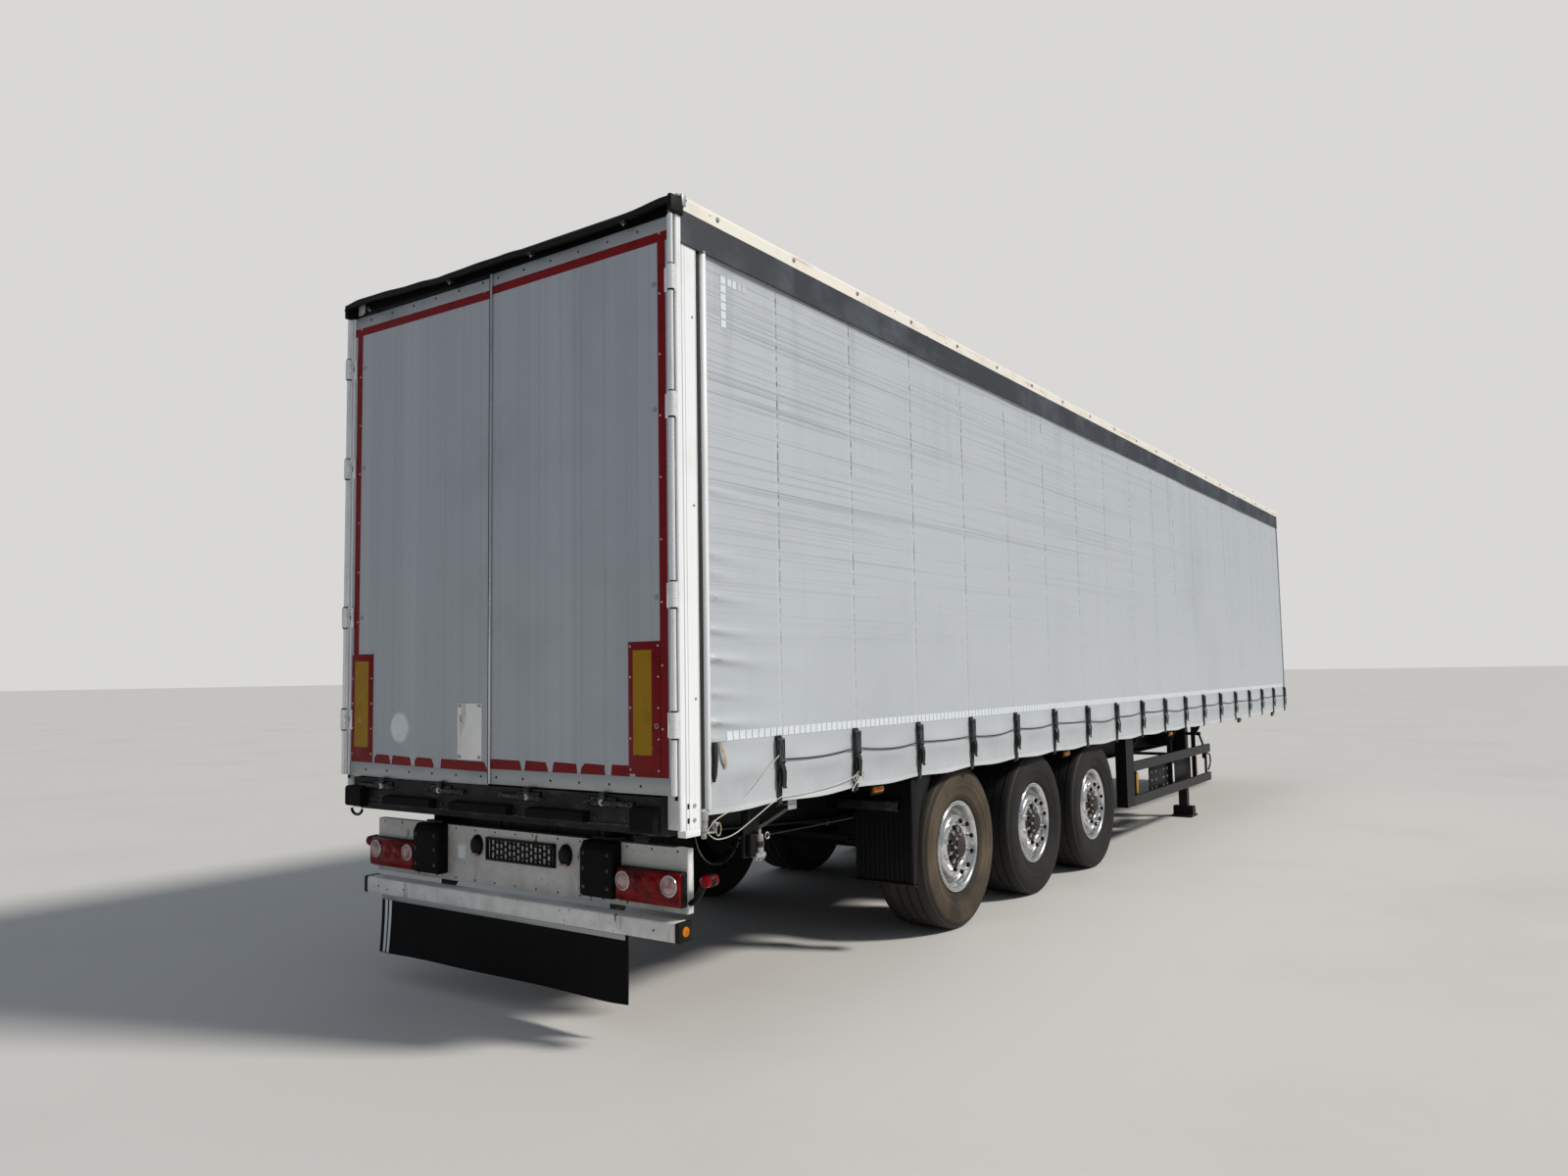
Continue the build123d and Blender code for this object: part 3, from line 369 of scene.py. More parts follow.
def reflective_sheet(name, colour, worn):
    """Retroreflective tape: prism cells about 4 mm wide, drawn at 8 mm so that they show, and scuffs."""
    made = Finish(name, colour, worn, 0.36, patch=0.08, cover=0.25, grain=0.002, bump=0.0001,
                  Specular_IOR_Level=0.15, Coat_Weight=0.06, Coat_Roughness=0.15)
    cells = node(made.tree, "ShaderNodeTexVoronoi",
                 {"Vector": made.place, "Scale": 1 / DRAWN_CELL, "Randomness": 0.15},
                 feature="DISTANCE_TO_EDGE")[0]
    made.over(worn, node(made.tree, "ShaderNodeMapRange",
                         {"Value": cells, "From Min": 0.0, "From Max": 0.12, "To Min": 0.22,
                          "To Max": 0.0})[0])
    made.stain("#8F8A84", 0.45, (26, 26, 26), 0.71, 0.75).done()


def lamp_lens(name, colour, deep):
    """Moulded acrylic lens over a ribbed reflector: glossy, with upright ribs that darken its colour."""
    made = Finish(name, colour, deep, 0.12, patch=0.05, cover=0.6, grain=0.003, bump=0.00005,
                  Specular_IOR_Level=0.12, Coat_Weight=0.09, Coat_Roughness=0.04, IOR=1.49)
    ribs, rows = [node(made.tree, "ShaderNodeMath", {0: made.waves(axis, pitch)}, operation="ABSOLUTE")[0]
                  for axis, pitch in ((made.axes[0], LENS_RIB), (made.axes[2], LENS_ROW))]
    made.over(deep, ribs, rows, 0.5).done()


def wheel_alloy(name):
    """Polished forged aluminium of the wheels, with dull patches, and brake dust in the bowl that is also
    painted shade and dark reflection there.
    """
    made = Finish(name, "#DEDFDF", "#BDBDBC", 0.25, metal=0.94, patch=0.06, cover=0.4, bump=0.00006)
    made.stain("#6A635B", 0.4, (13, 13, 13), 0.55, 0.72)
    # The piece's UV holds metres along its section, from the lip inwards
    path = node(made.tree, "ShaderNodeUVMap", uv_map="section")[0]
    along = node(made.tree, "ShaderNodeSeparateXYZ", {"Vector": path})[1]
    # Dark brown in the bowl: brake dust, laid on thick as painted shade and dark reflection
    dust = made.product(made.band(along, 0.030, 0.116, 0.012), made.streaks((5, 5, 5), 0.25, 0.65))
    made.over("#3F3934", dust, 0.8).roughen(dust, 0.3).done()


def plain_finish(name, colour, worn, rough, *stains, dust=None, **more):
    """A finish with stains, each as stain() takes it, and with dust, as dusty() takes it."""
    made = Finish(name, colour, worn, rough, **more)
    for stain in stains:
        made.stain(*stain)
    if dust:
        made.dusty(*dust)
    made.done()


def make_finishes(body, wheels, stage):
    """Every material of the trailer, by its maker's name."""
    curtain_cloth("coated_curtain_cloth", body.curtain_colour)
    curtain_cloth("curtain_hem_cloth", "#C6C9CA", seams=False)
    plank_aluminium("anodised_door_planks", body.door_colour)
    post_enamel("white_post_powder_coat")
    scuffed_enamel("scuffed_white_enamel", "#EFEFED", "#DDDCD8", 0.5)
    scuffed_enamel("rusty_panel_enamel", "#CBCAC7", "#AFADA8", 1.0)
    tread_rubber("dusty_tyre_rubber", wheels.rubber_colour, "#74644F", 0.9)
    tread_rubber("black_tyre_rubber", wheels.rubber_colour, "#322F2B", 0.5)
    reflective_sheet("red_reflective_tape", body.tape_colour, "#420509")
    reflective_sheet("yellow_reflective_board", "#9F780B", "#7F610D")
    reflective_sheet("white_reflective_tape", "#DCE3E6", "#C9CFD2")
    lamp_lens("red_lamp_lens", "#8C0309", "#300204")
    lamp_lens("clear_lamp_lens", "#C9AFAD", "#7E4A4A")
    lamp_lens("amber_lamp_lens", "#D97A0A", "#8F4A06")
    wheel_alloy("polished_wheel_alloy")
    # Roof rails: cream paint, with rust that bleeds down from bolts and seams
    plain_finish("cream_rail_paint", "#EFEAE0", "#DFD8C9", 0.45, ("#A2764B", 0.6, (6, 1.6, 30), 0.60, 0.72),
                 ("#6A3F22", 0.9, (30, 14, 30), 0.68, 0.72), patch=0.25, cover=0.4)
    # Valance: the same coated cloth in slate, with pale dust on its folds
    plain_finish("slate_valance_cloth", body.valance_colour, "#4A5158", 0.5,
                 ("#6B7075", 0.35, (4, 2, 12), 0.6, 0.8), patch=0.4, grain=0.002, bump=0.0002)
    # Roof lip: a black reinforced tarpaulin edge, brown with dust along its top
    plain_finish("black_roof_edge_tarpaulin", "#09090A", "#12100F", 0.55,
                 ("#3A3028", 0.25, (3, 9, 9), 0.60, 0.74), patch=0.2, cover=0.55, grain=0.003, bump=0.0006,
                 Specular_IOR_Level=0.2)
    # Roof cover: pale coated cloth, gone grey in patches
    plain_finish("roof_tarpaulin", "#C2C5C6", "#A9ACAC", 0.5, ("#8F8E88", 0.45, (2, 2, 2), 0.5, 0.75),
                 patch=0.7, cover=0.55, grain=0.003, bump=0.0002)
    # Chassis: dip coated black steel, dulled by road film that is thickest low down
    plain_finish("black_chassis_paint", "#09090A", "#100F0E", 0.5, dust=("#3E382F", 0.2, 1.0, 0.2),
                 patch=0.25, Specular_IOR_Level=0.25)
    # Sill: black paint gone grey with road dust, worn bare in streaks
    plain_finish("dusty_sill_paint", "#1B1B1C", "#2D2B29", 0.6, ("#6B675F", 0.4, (5, 5, 14), 0.57, 0.7),
                 patch=0.12, cover=0.6, Specular_IOR_Level=0.25)
    # Guards and rails: dark powder coat, plastics and rubber, all dull, with dust low down
    plain_finish("graphite_powder_coat", "#111215", "#0C0D0E", 0.45, dust=("#3E3932", 0.3, 1.1, 0.16),
                 patch=0.3, cover=0.4, Specular_IOR_Level=0.3)
    plain_finish("moulded_black_plastic", "#08090A", "#111111", 0.5, dust=("#39342D", 0.2, 1.0, 0.14),
                 patch=0.2, cover=0.4, grain=0.0015, bump=0.0003, Specular_IOR_Level=0.2)
    plain_finish("black_buffer_rubber", "#060607", "#0D0C0C", 0.7,
                 ("#34312C", 0.25, (20, 20, 20), 0.68, 0.74), patch=0.12, Specular_IOR_Level=0.15)
    # Air tanks: a glossier black enamel
    plain_finish("black_tank_enamel", "#141516", "#1F1F1F", 0.3, dust=("#4A4338", 0.5, 1.0, 0.25), patch=0.3,
                 cover=0.4)
    # Bright metals: nuts, anodised strips and hinge sleeves, with a faint upright grain
    plain_finish("polished_nut_steel", "#EDEDEC", "#B0AEAA", 0.26, metal=0.8, patch=0.02, cover=0.3)
    plain_finish("bright_anodised_trim", "#C9CCCE", "#A9ACAE", 0.3, ("#8C8F92", 0.3, (60, 60, 2), 0.5, 0.7),
                 metal=0.85, patch=0.3, cover=0.4)
    plain_finish("bright_hinge_sleeve", "#F3F5F6", "#E0E3E5", 0.26, ("#A7ABAE", 0.25, (60, 60, 3), 0.55, 0.7),
                 metal=0.35, patch=0.2, cover=0.35)
    # Zinc plate with rust in specks, and cast parts in brown oxide with paler rust
    plain_finish("zinc_plated_steel", "#B4B6B6", "#8A8882", 0.4, ("#5F4630", 0.5, (30, 30, 30), 0.62, 0.70),
                 metal=0.55, patch=0.05)
    plain_finish("rusty_cast_iron", "#2E2420", "#171210", 0.7, ("#6E4E3A", 0.5, (40, 40, 40), 0.55, 0.68),
                 patch=0.04, cover=0.55, grain=0.003, bump=0.0009)
    # Buckles: a dark plate with worn edges, and a lever in a lighter copy of the steel, its lightness a
    # painted highlight
    plain_finish("lever_steel_painted_highlight", "#55585A", "#8D9091", 0.35, metal=0.6, patch=0.02, cover=0.4)
    plain_finish("worn_buckle_steel", "#1B1C1D", "#565757", 0.4, metal=0.5, patch=0.025, cover=0.55)
    # Deck ply with a brown resin face, scuffed along its length, and mill-finished aluminium
    plain_finish("phenolic_deck_ply", "#4B3527", "#37271D", 0.6, ("#6A4E3A", 0.4, (30, 2, 30), 0.5, 0.7),
                 patch=0.5)
    plain_finish("milled_aluminium", "#A7AAAC", "#8F9294", 0.4, metal=0.6, patch=0.4, cover=0.4)
    plain_finish("worn_buff_webbing", "#B5A48C", "#8B7A64", 0.8, patch=0.04)
    plain_finish("bright_cord", "#C9C9C2", "#AFAFA8", 0.5, patch=0.1, cover=0.4)
    plain_finish("studio_floor", stage.floor_colour, "#CFCDC9", 0.85, patch=3.0, cover=0.4, grain=0.02,
                 bump=0.0)
    # Straps: matt polyester, its weave drawn at 6 mm so that it shows
    webbing = Finish("black_webbing", "#101011", "#1C1B1A", 0.75, patch=0.05, cover=0.4)
    webbing.raise_by(webbing.waves(webbing.axes[2], 0.006), 0.0003).done()


def material(name):
    """A finish by its name."""
    return bpy.data.materials[name]


# Shapes


class Shape:
    """A mesh in the making. Each part takes the material of its index."""

    def __init__(self, *finishes):
        self.mesh = bmesh.new()
        self.finishes = finishes
        self.layer = self.mesh.loops.layers.uv.new("section")

    def skin(self, corners, finish=0, smooth=False):
        """One face on existing corners."""
        face = self.mesh.faces.new(corners)
        face.material_index = finish
        face.smooth = smooth
        return face

    def prism(self, points, axis, start, end, finish=0, bevel=0.0, steps=2):
        """A profile of (y, z) along X, (x, z) along Y or (x, y) along Z, with rounded edges if asked."""
        place = {
            "X": lambda a, b, c: (c, a, b),
            "Y": lambda a, b, c: (a, c, b),
            "Z": lambda a, b, c: (a, b, c),
        }[axis]
        rows = [[self.mesh.verts.new(place(a, b, c)) for a, b in points] for c in (start, end)]
        made = [self.skin(rows[0], finish), self.skin(rows[1][::-1], finish)]
        for index in range(len(points)):
            after = (index + 1) % len(points)
            made.append(self.skin([rows[0][after], rows[0][index], rows[1][index], rows[1][after]], finish))
        bmesh.ops.recalc_face_normals(self.mesh, faces=made)
        if bevel:
            edges = list({edge for face in made for edge in face.edges})
            bmesh.ops.bevel(self.mesh, geom=edges, offset=bevel, segments=steps, profile=0.5, affect="EDGES",
                            clamp_overlap=True, material=finish)
        return self

    def box(self, x0, x1, y0, y1, z0, z1, finish=0, bevel=0.0, steps=2):
        """A block between limits, all in frame places."""
        return self.prism([(x0, y0), (x1, y0), (x1, y1), (x0, y1)], "Z", z0, z1, finish, bevel, steps)

    def block(self, side, x, y, z, finish=0, bevel=0.0, steps=2):
        """A block between pairs of limits: out to a side, ahead of the doors, and above the ground."""
        x0, x1 = limits(side, *x)
        return self.box(x0, x1, ahead(y[0]), ahead(y[1]), z[0], z[1], finish, bevel, steps)

    def profile(self, side, outline, x, finish=0, bevel=0.0, steps=2):
        """A block between two limits out to a side, with an outline ahead and above the ground."""
        points = [(ahead(y), z) for y, z in outline]
        return self.prism(points, "X", *limits(side, *x), finish, bevel, steps)

    def lathe(self, section, origin, axis, sides, finish=0, closed=True, smooth=True):
        """Turn (along, radius) points round an axis."""
        turned = Vector(axis).to_track_quat("Z", "Y").to_matrix().to_4x4()
        place = Matrix.Translation(Vector(origin)) @ turned
        rows = []
        for along, radius in section:
            turns = [2 * pi * k / sides for k in range(sides if radius else 1)]
            rows.append([self.mesh.verts.new(place @ Vector((radius * cos(t), radius * sin(t), along)))
                         for t in turns])
        walk = [0.0]
        for (a0, r0), (a1, r1) in zip(section, section[1:] + section[:1]):
            walk.append(walk[-1] + hypot(a1 - a0, r1 - r0))
        made = []
        for band in range(len(section) if closed else len(section) - 1):
            first, second = rows[band], rows[(band + 1) % len(section)]
            for side in range(sides):
                after = (side + 1) % sides
                if len(first) == 1 and len(second) == 1:
                    break
                if len(first) == 1:
                    corners = [first[0], second[after], second[side]]
                    spots = [(side, 0), (side + 1, 1), (side, 1)]
                elif len(second) == 1:
                    corners = [first[side], first[after], second[0]]
                    spots = [(side, 0), (side + 1, 0), (side, 1)]
                else:
                    corners = [first[side], first[after], second[after], second[side]]
                    spots = [(side, 0), (side + 1, 0), (side + 1, 1), (side, 1)]
                face = self.skin(corners, finish, smooth)
                made.append(face)
                for loop, (turn, end) in zip(face.loops, spots):
                    loop[self.layer].uv = (turn / sides, walk[band + end])
        bmesh.ops.recalc_face_normals(self.mesh, faces=made)
        return self

    def rod(self, start, end, radius, sides=12, finish=0, bevel=0.0):
        """A round bar between two places."""
        way = Vector(end) - Vector(start)
        long, cut = way.length, min(bevel, radius * 0.5)
        section = [(0, 0), (0, radius - cut), (cut, radius), (long - cut, radius), (long, radius - cut),
                   (long, 0)]
        if not cut:
            section = [(0, 0), (0, radius), (long, radius), (long, 0)]
        return self.lathe(section, start, way, sides, finish)

    def post(self, side, x, y, z, radius, sides=12, finish=0, bevel=0.0):
        """An upright round bar, between two heights."""
        return self.rod(*places(side, (x, y, z[0]), (x, y, z[1])), radius, sides, finish, bevel)

    def pipe(self, side, points, steps, radius, sides, finish=0):
        """A pipe or cord on a smooth curve through places out to a side."""
        return self.tube(smooth_line(places(side, *points), steps), radius, sides, finish)

    def tube(self, points, radius, sides=8, finish=0):
        """A round cord or pipe along points, with closed ends."""
        points = [Vector(point) for point in points]
        up = Vector((0, 0, 1))
        rows = []
        for index, point in enumerate(points):
            way = (points[min(index + 1, len(points) - 1)] - points[max(index - 1, 0)]).normalized()
            side = way.cross(up if abs(way.z) < 0.95 else Vector((1, 0, 0))).normalized()
            over = side.cross(way)
            turns = [2 * pi * k / sides for k in range(sides)]
            rows.append([self.mesh.verts.new(point + radius * (side * cos(t) + over * sin(t)))
                         for t in turns])
        made = [self.skin(rows[0], finish), self.skin(rows[-1][::-1], finish)]
        for first, second in zip(rows, rows[1:]):
            for k in range(sides):
                after = (k + 1) % sides
                made.append(self.skin([first[k], first[after], second[after], second[k]], finish, True))
        bmesh.ops.recalc_face_normals(self.mesh, faces=made)
        return self

    def patch(self, spots, thick=0.0, finish=0, smooth=True):
        """A sheet over rows of places, given thickness towards its back."""
        rows = [[self.mesh.verts.new(spot) for spot in row] for row in spots]
        made = []
        for first, second in zip(rows, rows[1:]):
            for k in range(len(first) - 1):
                made.append(self.skin([first[k], first[k + 1], second[k + 1], second[k]], finish, smooth))
        if thick:
            self.mesh.normal_update()
            bmesh.ops.solidify(self.mesh, geom=made, thickness=thick)
        return self

    def moved(self, matrix):
        """Turn and move everything made so far."""
        bmesh.ops.transform(self.mesh, matrix=matrix, verts=self.mesh.verts)
        return self

    def object(self, name, smooth_angle=None):
        """Make the object, with its place in its mesh."""
        data = bpy.data.meshes.new(name)
        self.mesh.to_mesh(data)
        self.mesh.free()
        for finish in self.finishes:
            data.materials.append(material(finish))
        made = linked(name, data)
        if smooth_angle is not None:
            data.shade_smooth()
            data.set_sharp_from_angle(angle=radians(smooth_angle))
        return made

    def piece(self, name, body, slot, *replaced, smooth_angle=35):
        """Make the object, let it ride on a body, and let it stand for CAD nodes."""
        made = self.object(name, smooth_angle)
        return settle(made, body, slot, *replaced)


def linked(name, data):
    """A new object in the scene."""
    made = bpy.data.objects.new(name, data)
    bpy.context.scene.collection.objects.link(made)
    return made


def settle(made, body, slot, *replaced):
    """Let an object ride on a body, and stand for CAD nodes; its slot is not used."""
    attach(made, body)
    if replaced:
        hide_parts(*replaced)
    return made


def limits(side, near, far):
    """Two distances out to a side as frame places, the lower one first."""
    return sorted((side * near, side * far))


def places(side, *points):
    """Frame places of points that are given out to a side, ahead of the doors and above the ground."""
    return [(side * x, ahead(y), z) for x, y, z in points]


def ring_of(middle, wide, high, steps):
    """Places on an upright ring that lies along the trailer."""
    angles = [2 * pi * k / steps for k in range(steps + 1)]
    return [(middle[0], middle[1] + wide * cos(a), middle[2] + high * sin(a)) for a in angles]


def smooth_line(points, steps):
    """More places on a smooth curve through the given ones."""
    points = [Vector(point) for point in points]
    made = []
    for index in range(len(points) - 1):
        p0, p1 = points[max(index - 1, 0)], points[index]
        p2, p3 = points[index + 1], points[min(index + 2, len(points) - 1)]
        for step in range(steps):
            t = step / steps
            made.append(0.5 * ((2 * p1) + (p2 - p0) * t + (2 * p0 - 5 * p1 + 4 * p2 - p3) * t * t
                               + (3 * p1 - p0 - 3 * p2 + p3) * t * t * t))
    return made + [points[-1]]


# Repeats with Geometry Nodes

TREE_INPUTS = {
    "pieces_in_a_row": {"Start": "Vector", "Step": "Vector", "Count": "Int"},
    "pieces_in_a_ring": {"Centre": "Vector", "Radius": "Float", "Count": "Int"},
}
COMMON_INPUTS = {"Piece": "Object", "Swing": "Vector", "Seed": "Int", "Finish": "Material"}


def repeat_tree(name):
    """Start a tree with its named inputs, and return it with its input node's sockets."""
    tree = bpy.data.node_groups.new(name, "GeometryNodeTree")
    tree.interface.new_socket("Geometry", in_out="OUTPUT", socket_type="NodeSocketGeometry")
    for label, kind in (TREE_INPUTS[name] | COMMON_INPUTS).items():
        tree.interface.new_socket(label, in_out="INPUT", socket_type="NodeSocket" + kind)
    return tree, node(tree, "NodeGroupInput")


def end_tree(tree, points, given, rotation=(0, 0, 0)):
    """Put the piece on the points, with a seeded small swing, then realise it and give it its finish."""
    piece = node(tree, "GeometryNodeObjectInfo", {"Object": given["Piece"]}, transform_space="ORIGINAL")
    least = node(tree, "ShaderNodeVectorMath", {0: given["Swing"], 1: (-1, -1, -1)}, operation="MULTIPLY")[0]
    swing = node(tree, "FunctionNodeRandomValue", {0: least, 1: given["Swing"], "Seed": given["Seed"]},
                 data_type="FLOAT_VECTOR")[0]
    turn = node(tree, "ShaderNodeVectorMath", {0: rotation, 1: swing}, operation="ADD")[0]
    placed = node(tree, "GeometryNodeInstanceOnPoints",
                  {"Points": points, "Instance": piece["Geometry"], "Rotation": turn})[0]
    whole = node(tree, "GeometryNodeRealizeInstances", {"Geometry": placed})[0]
    dressed = node(tree, "GeometryNodeSetMaterial", {"Geometry": whole, "Material": given["Finish"]})[0]
    node(tree, "NodeGroupOutput", {"Geometry": dressed})


def make_repeat_trees():
    """A row of pieces, and a ring of pieces round the X axis."""
    tree, given = repeat_tree("pieces_in_a_row")
    line = node(tree, "GeometryNodeMeshLine", {"Count": given["Count"], "Start Location": given["Start"],
                                               "Offset": given["Step"]}, mode="OFFSET")[0]
    end_tree(tree, line, given)
    tree, given = repeat_tree("pieces_in_a_ring")
    ring = node(tree, "GeometryNodeMeshCircle", {"Vertices": given["Count"], "Radius": given["Radius"]})[0]
    upright = node(tree, "GeometryNodeTransform",
                   {"Geometry": ring, "Translation": given["Centre"], "Rotation": (0.0, pi / 2, 0.0)})[0]
    index = node(tree, "GeometryNodeInputIndex")[0]
    share = node(tree, "ShaderNodeMath", {0: index, 1: given["Count"]}, operation="DIVIDE")[0]
    angle = node(tree, "ShaderNodeMath", {0: share, 1: 2 * pi}, operation="MULTIPLY")[0]
    end_tree(tree, upright, given, node(tree, "ShaderNodeCombineXYZ", {"X": angle})[0])


def repeated(name, tree_name, shape, body, slot, swing=(0, 0, 0), seed=1, **inputs):
    """Run a repeat tree on one small shape, and settle the result as a plain object."""
    finish = shape.finishes[0]
    source = shape.object(name + "_source", 35)
    made = linked(name, bpy.data.meshes.new(name + "_start"))
    tree = bpy.data.node_groups[tree_name]
    modifier = made.modifiers.new("repeat", "NODES")
    modifier.node_group = tree
    given = dict(inputs, Piece=source, Swing=swing, Seed=seed, Finish=material(finish))
    for item in tree.interface.items_tree:
        if item.name in given:
            modifier[item.identifier] = given[item.name]
    made.update_tag()
    bpy.context.view_layer.update()
    bake_modifiers(made)
    made.data.name = name
    bpy.data.objects.remove(source)
    if not made.data.polygons:
        raise RuntimeError(f"{name} came out empty")
    return settle(made, body, slot)


def bake_modifiers(made):
    """Turn an object's modifiers into its plain mesh."""
    graph = bpy.context.evaluated_depsgraph_get()
    data = bpy.data.meshes.new_from_object(made.evaluated_get(graph))
    made.modifiers.clear()
    made.data = data


def row(name, shape, start, step, count, body, slot, **more):
    """A row of one small piece, from its start by equal steps."""
    return repeated(name, "pieces_in_a_row", shape, body, slot, Start=start, Step=step, Count=count, **more)


def rivet(radius, finish, axis=(0, -1, 0)):
    """A domed rivet head that faces along an axis."""
    dome = [(0.0, radius), (radius * 0.35, radius * 0.8), (radius * 0.55, radius * 0.4), (radius * 0.6, 0)]
    return Shape(finish).lathe([(-radius * 0.3, 0), (-radius * 0.3, radius)] + dome, (0, 0, 0), axis, 8)


def bolt(size, high, finish, axis=(0, -1, 0)):
    """A hexagon head on a washer."""
    washer = [(-0.001, 0), (-0.001, size * 0.95), (size * 0.15, size * 0.95), (size * 0.15, 0)]
    head = [(size * 0.1, 0), (size * 0.1, size * 0.66), (high * 0.85, size * 0.66), (high, size * 0.55),
            (high, 0)]
    shape = Shape(finish).lathe(washer, (0, 0, 0), axis, 12, smooth=False)
    return shape.lathe(head, (0, 0, 0), axis, 6, smooth=False)


# Curtain cloth

CLOTH_THICK = 0.0016
CLOTH_TOP = RAIL_LOW - 0.02
STRAP_HIGH = 1.366
TAPE_LOW, TAPE_HIGH = 1.392, 1.436
CORNER_LOW, CORNER_HIGH = 3.633, 3.671
# Level, depth and reach in metres of the short folds at the curtain's rear edge
EDGE_FOLDS = ((2.59, 0.016, 0.15), (2.28, 0.018, 0.18), (2.19, 0.014, 0.15), (2.08, 0.022, 0.21),
              (1.92, 0.022, 0.24), (1.785, 0.030, 0.28), (1.62, 0.018, 0.20), (1.485, 0.030, 0.26),
              (1.40, 0.016, 0.15))


def cloth_out(y, z, side):
    """How far the curtain stands out from its plane at a place, in metres."""
    body = bpy.context.scene.trailer_body
    share = min(max((z - CURTAIN_LOW) / (RAIL_LOW - CURTAIN_LOW), 0), 1)
    wave = noise.noise(Vector((y * 0.7, z * 0.4, side * 7.3))) * body.ripple * sin(pi * share)
    fine = noise.noise(Vector((y * 2.2, z * 0.5, side * 3.7))) * body.ripple * 0.2
    # Tension at the rear edge draws short level folds there
    close = max(y - CURTAIN_REAR - 0.064, 0)
    folds = 0.0
    for level, depth, reach in EDGE_FOLDS:
        drop = (z - level + 0.06 * close) / (0.015 + 0.05 * close)
        folds += depth * min(close / 0.02, 1) * exp(-close / reach) * exp(-drop * drop)
    # Straps pull the cloth in, and it swells between them in a roll above the hem
    nearest = round((y - body.strap_first) / body.strap_pitch)
    nearest = min(max(nearest, 0), body.strap_count - 1)
    gap = abs(y - body.strap_first - nearest * body.strap_pitch)
    dent = exp(-(gap / 0.10) ** 2)
    swell = (1 - cos(2 * pi * min(gap / body.strap_pitch, 0.5))) / 2
    belly = exp(-((z - 1.245 - 0.015 * noise.noise(Vector((y * 1.3, 0, side)))) / 0.062) ** 2)
    flare = exp(-((z - 1.058) / 0.032) ** 2)
    low = 1.0 / (1.0 + exp((z - 1.36) / 0.04))
    skirt = noise.noise(Vector((y * 3.3, z * 5.0, side * 2.2)))
    pull = 0.0035 * dent * sin(min(gap, 0.2) * 60) * exp(-((z - 1.2) / 0.14) ** 2)
    lower = belly * (0.006 + swell * 0.019) + flare * (0.006 + swell * 0.010)
    lower = (lower + low * skirt * 0.005 * (1 - dent) + pull) * min(close / 0.3, 1)
    # It never sinks into the side rail behind it
    return max(wave + fine + folds + lower * (1 - 0.75 * dent) + 0.003 * sin(pi * share), -0.0006)


def cloth_levels(z0, z1):
    """Heights of the grid's lines: 12 to 18 mm apart where the cloth folds, 80 mm above."""
    levels = [z0]
    while levels[-1] < z1 - 0.001:
        step = 0.012 if levels[-1] < 1.95 else 0.018 if levels[-1] < 2.66 else 0.08
        levels.append(min(levels[-1] + step, z1))
    return levels


def cloth_spots(y0, y1, z0, z1, side, lift=0.0, step_y=0.062):
    """A grid of places on the curtain's surface, lifted by a thickness."""
    across = [y0]
    while across[-1] < y1 - 0.001:
        step = min(step_y, 0.022) if across[-1] < CURTAIN_REAR + 0.4 else step_y
        across.append(min(across[-1] + step, y1))
    body = bpy.context.scene.trailer_body
    spots = []
    for z in cloth_levels(z0, z1):
        line = []
        for y in across:
            # The lower edge hangs in shallow scallops between the straps
            place = (y - body.strap_first) / body.strap_pitch
            hang = max(0.0, 1 - (z - CURTAIN_LOW) / 0.12) * 0.009 * sin(pi * (place % 1.0)) ** 2
            x = side * (CURTAIN_X - 0.0035 + lift + cloth_out(y, z, side))
            line.append((x, ahead(y), z - hang + 0.002))
        spots.append(line if side > 0 else line[::-1])
    return spots


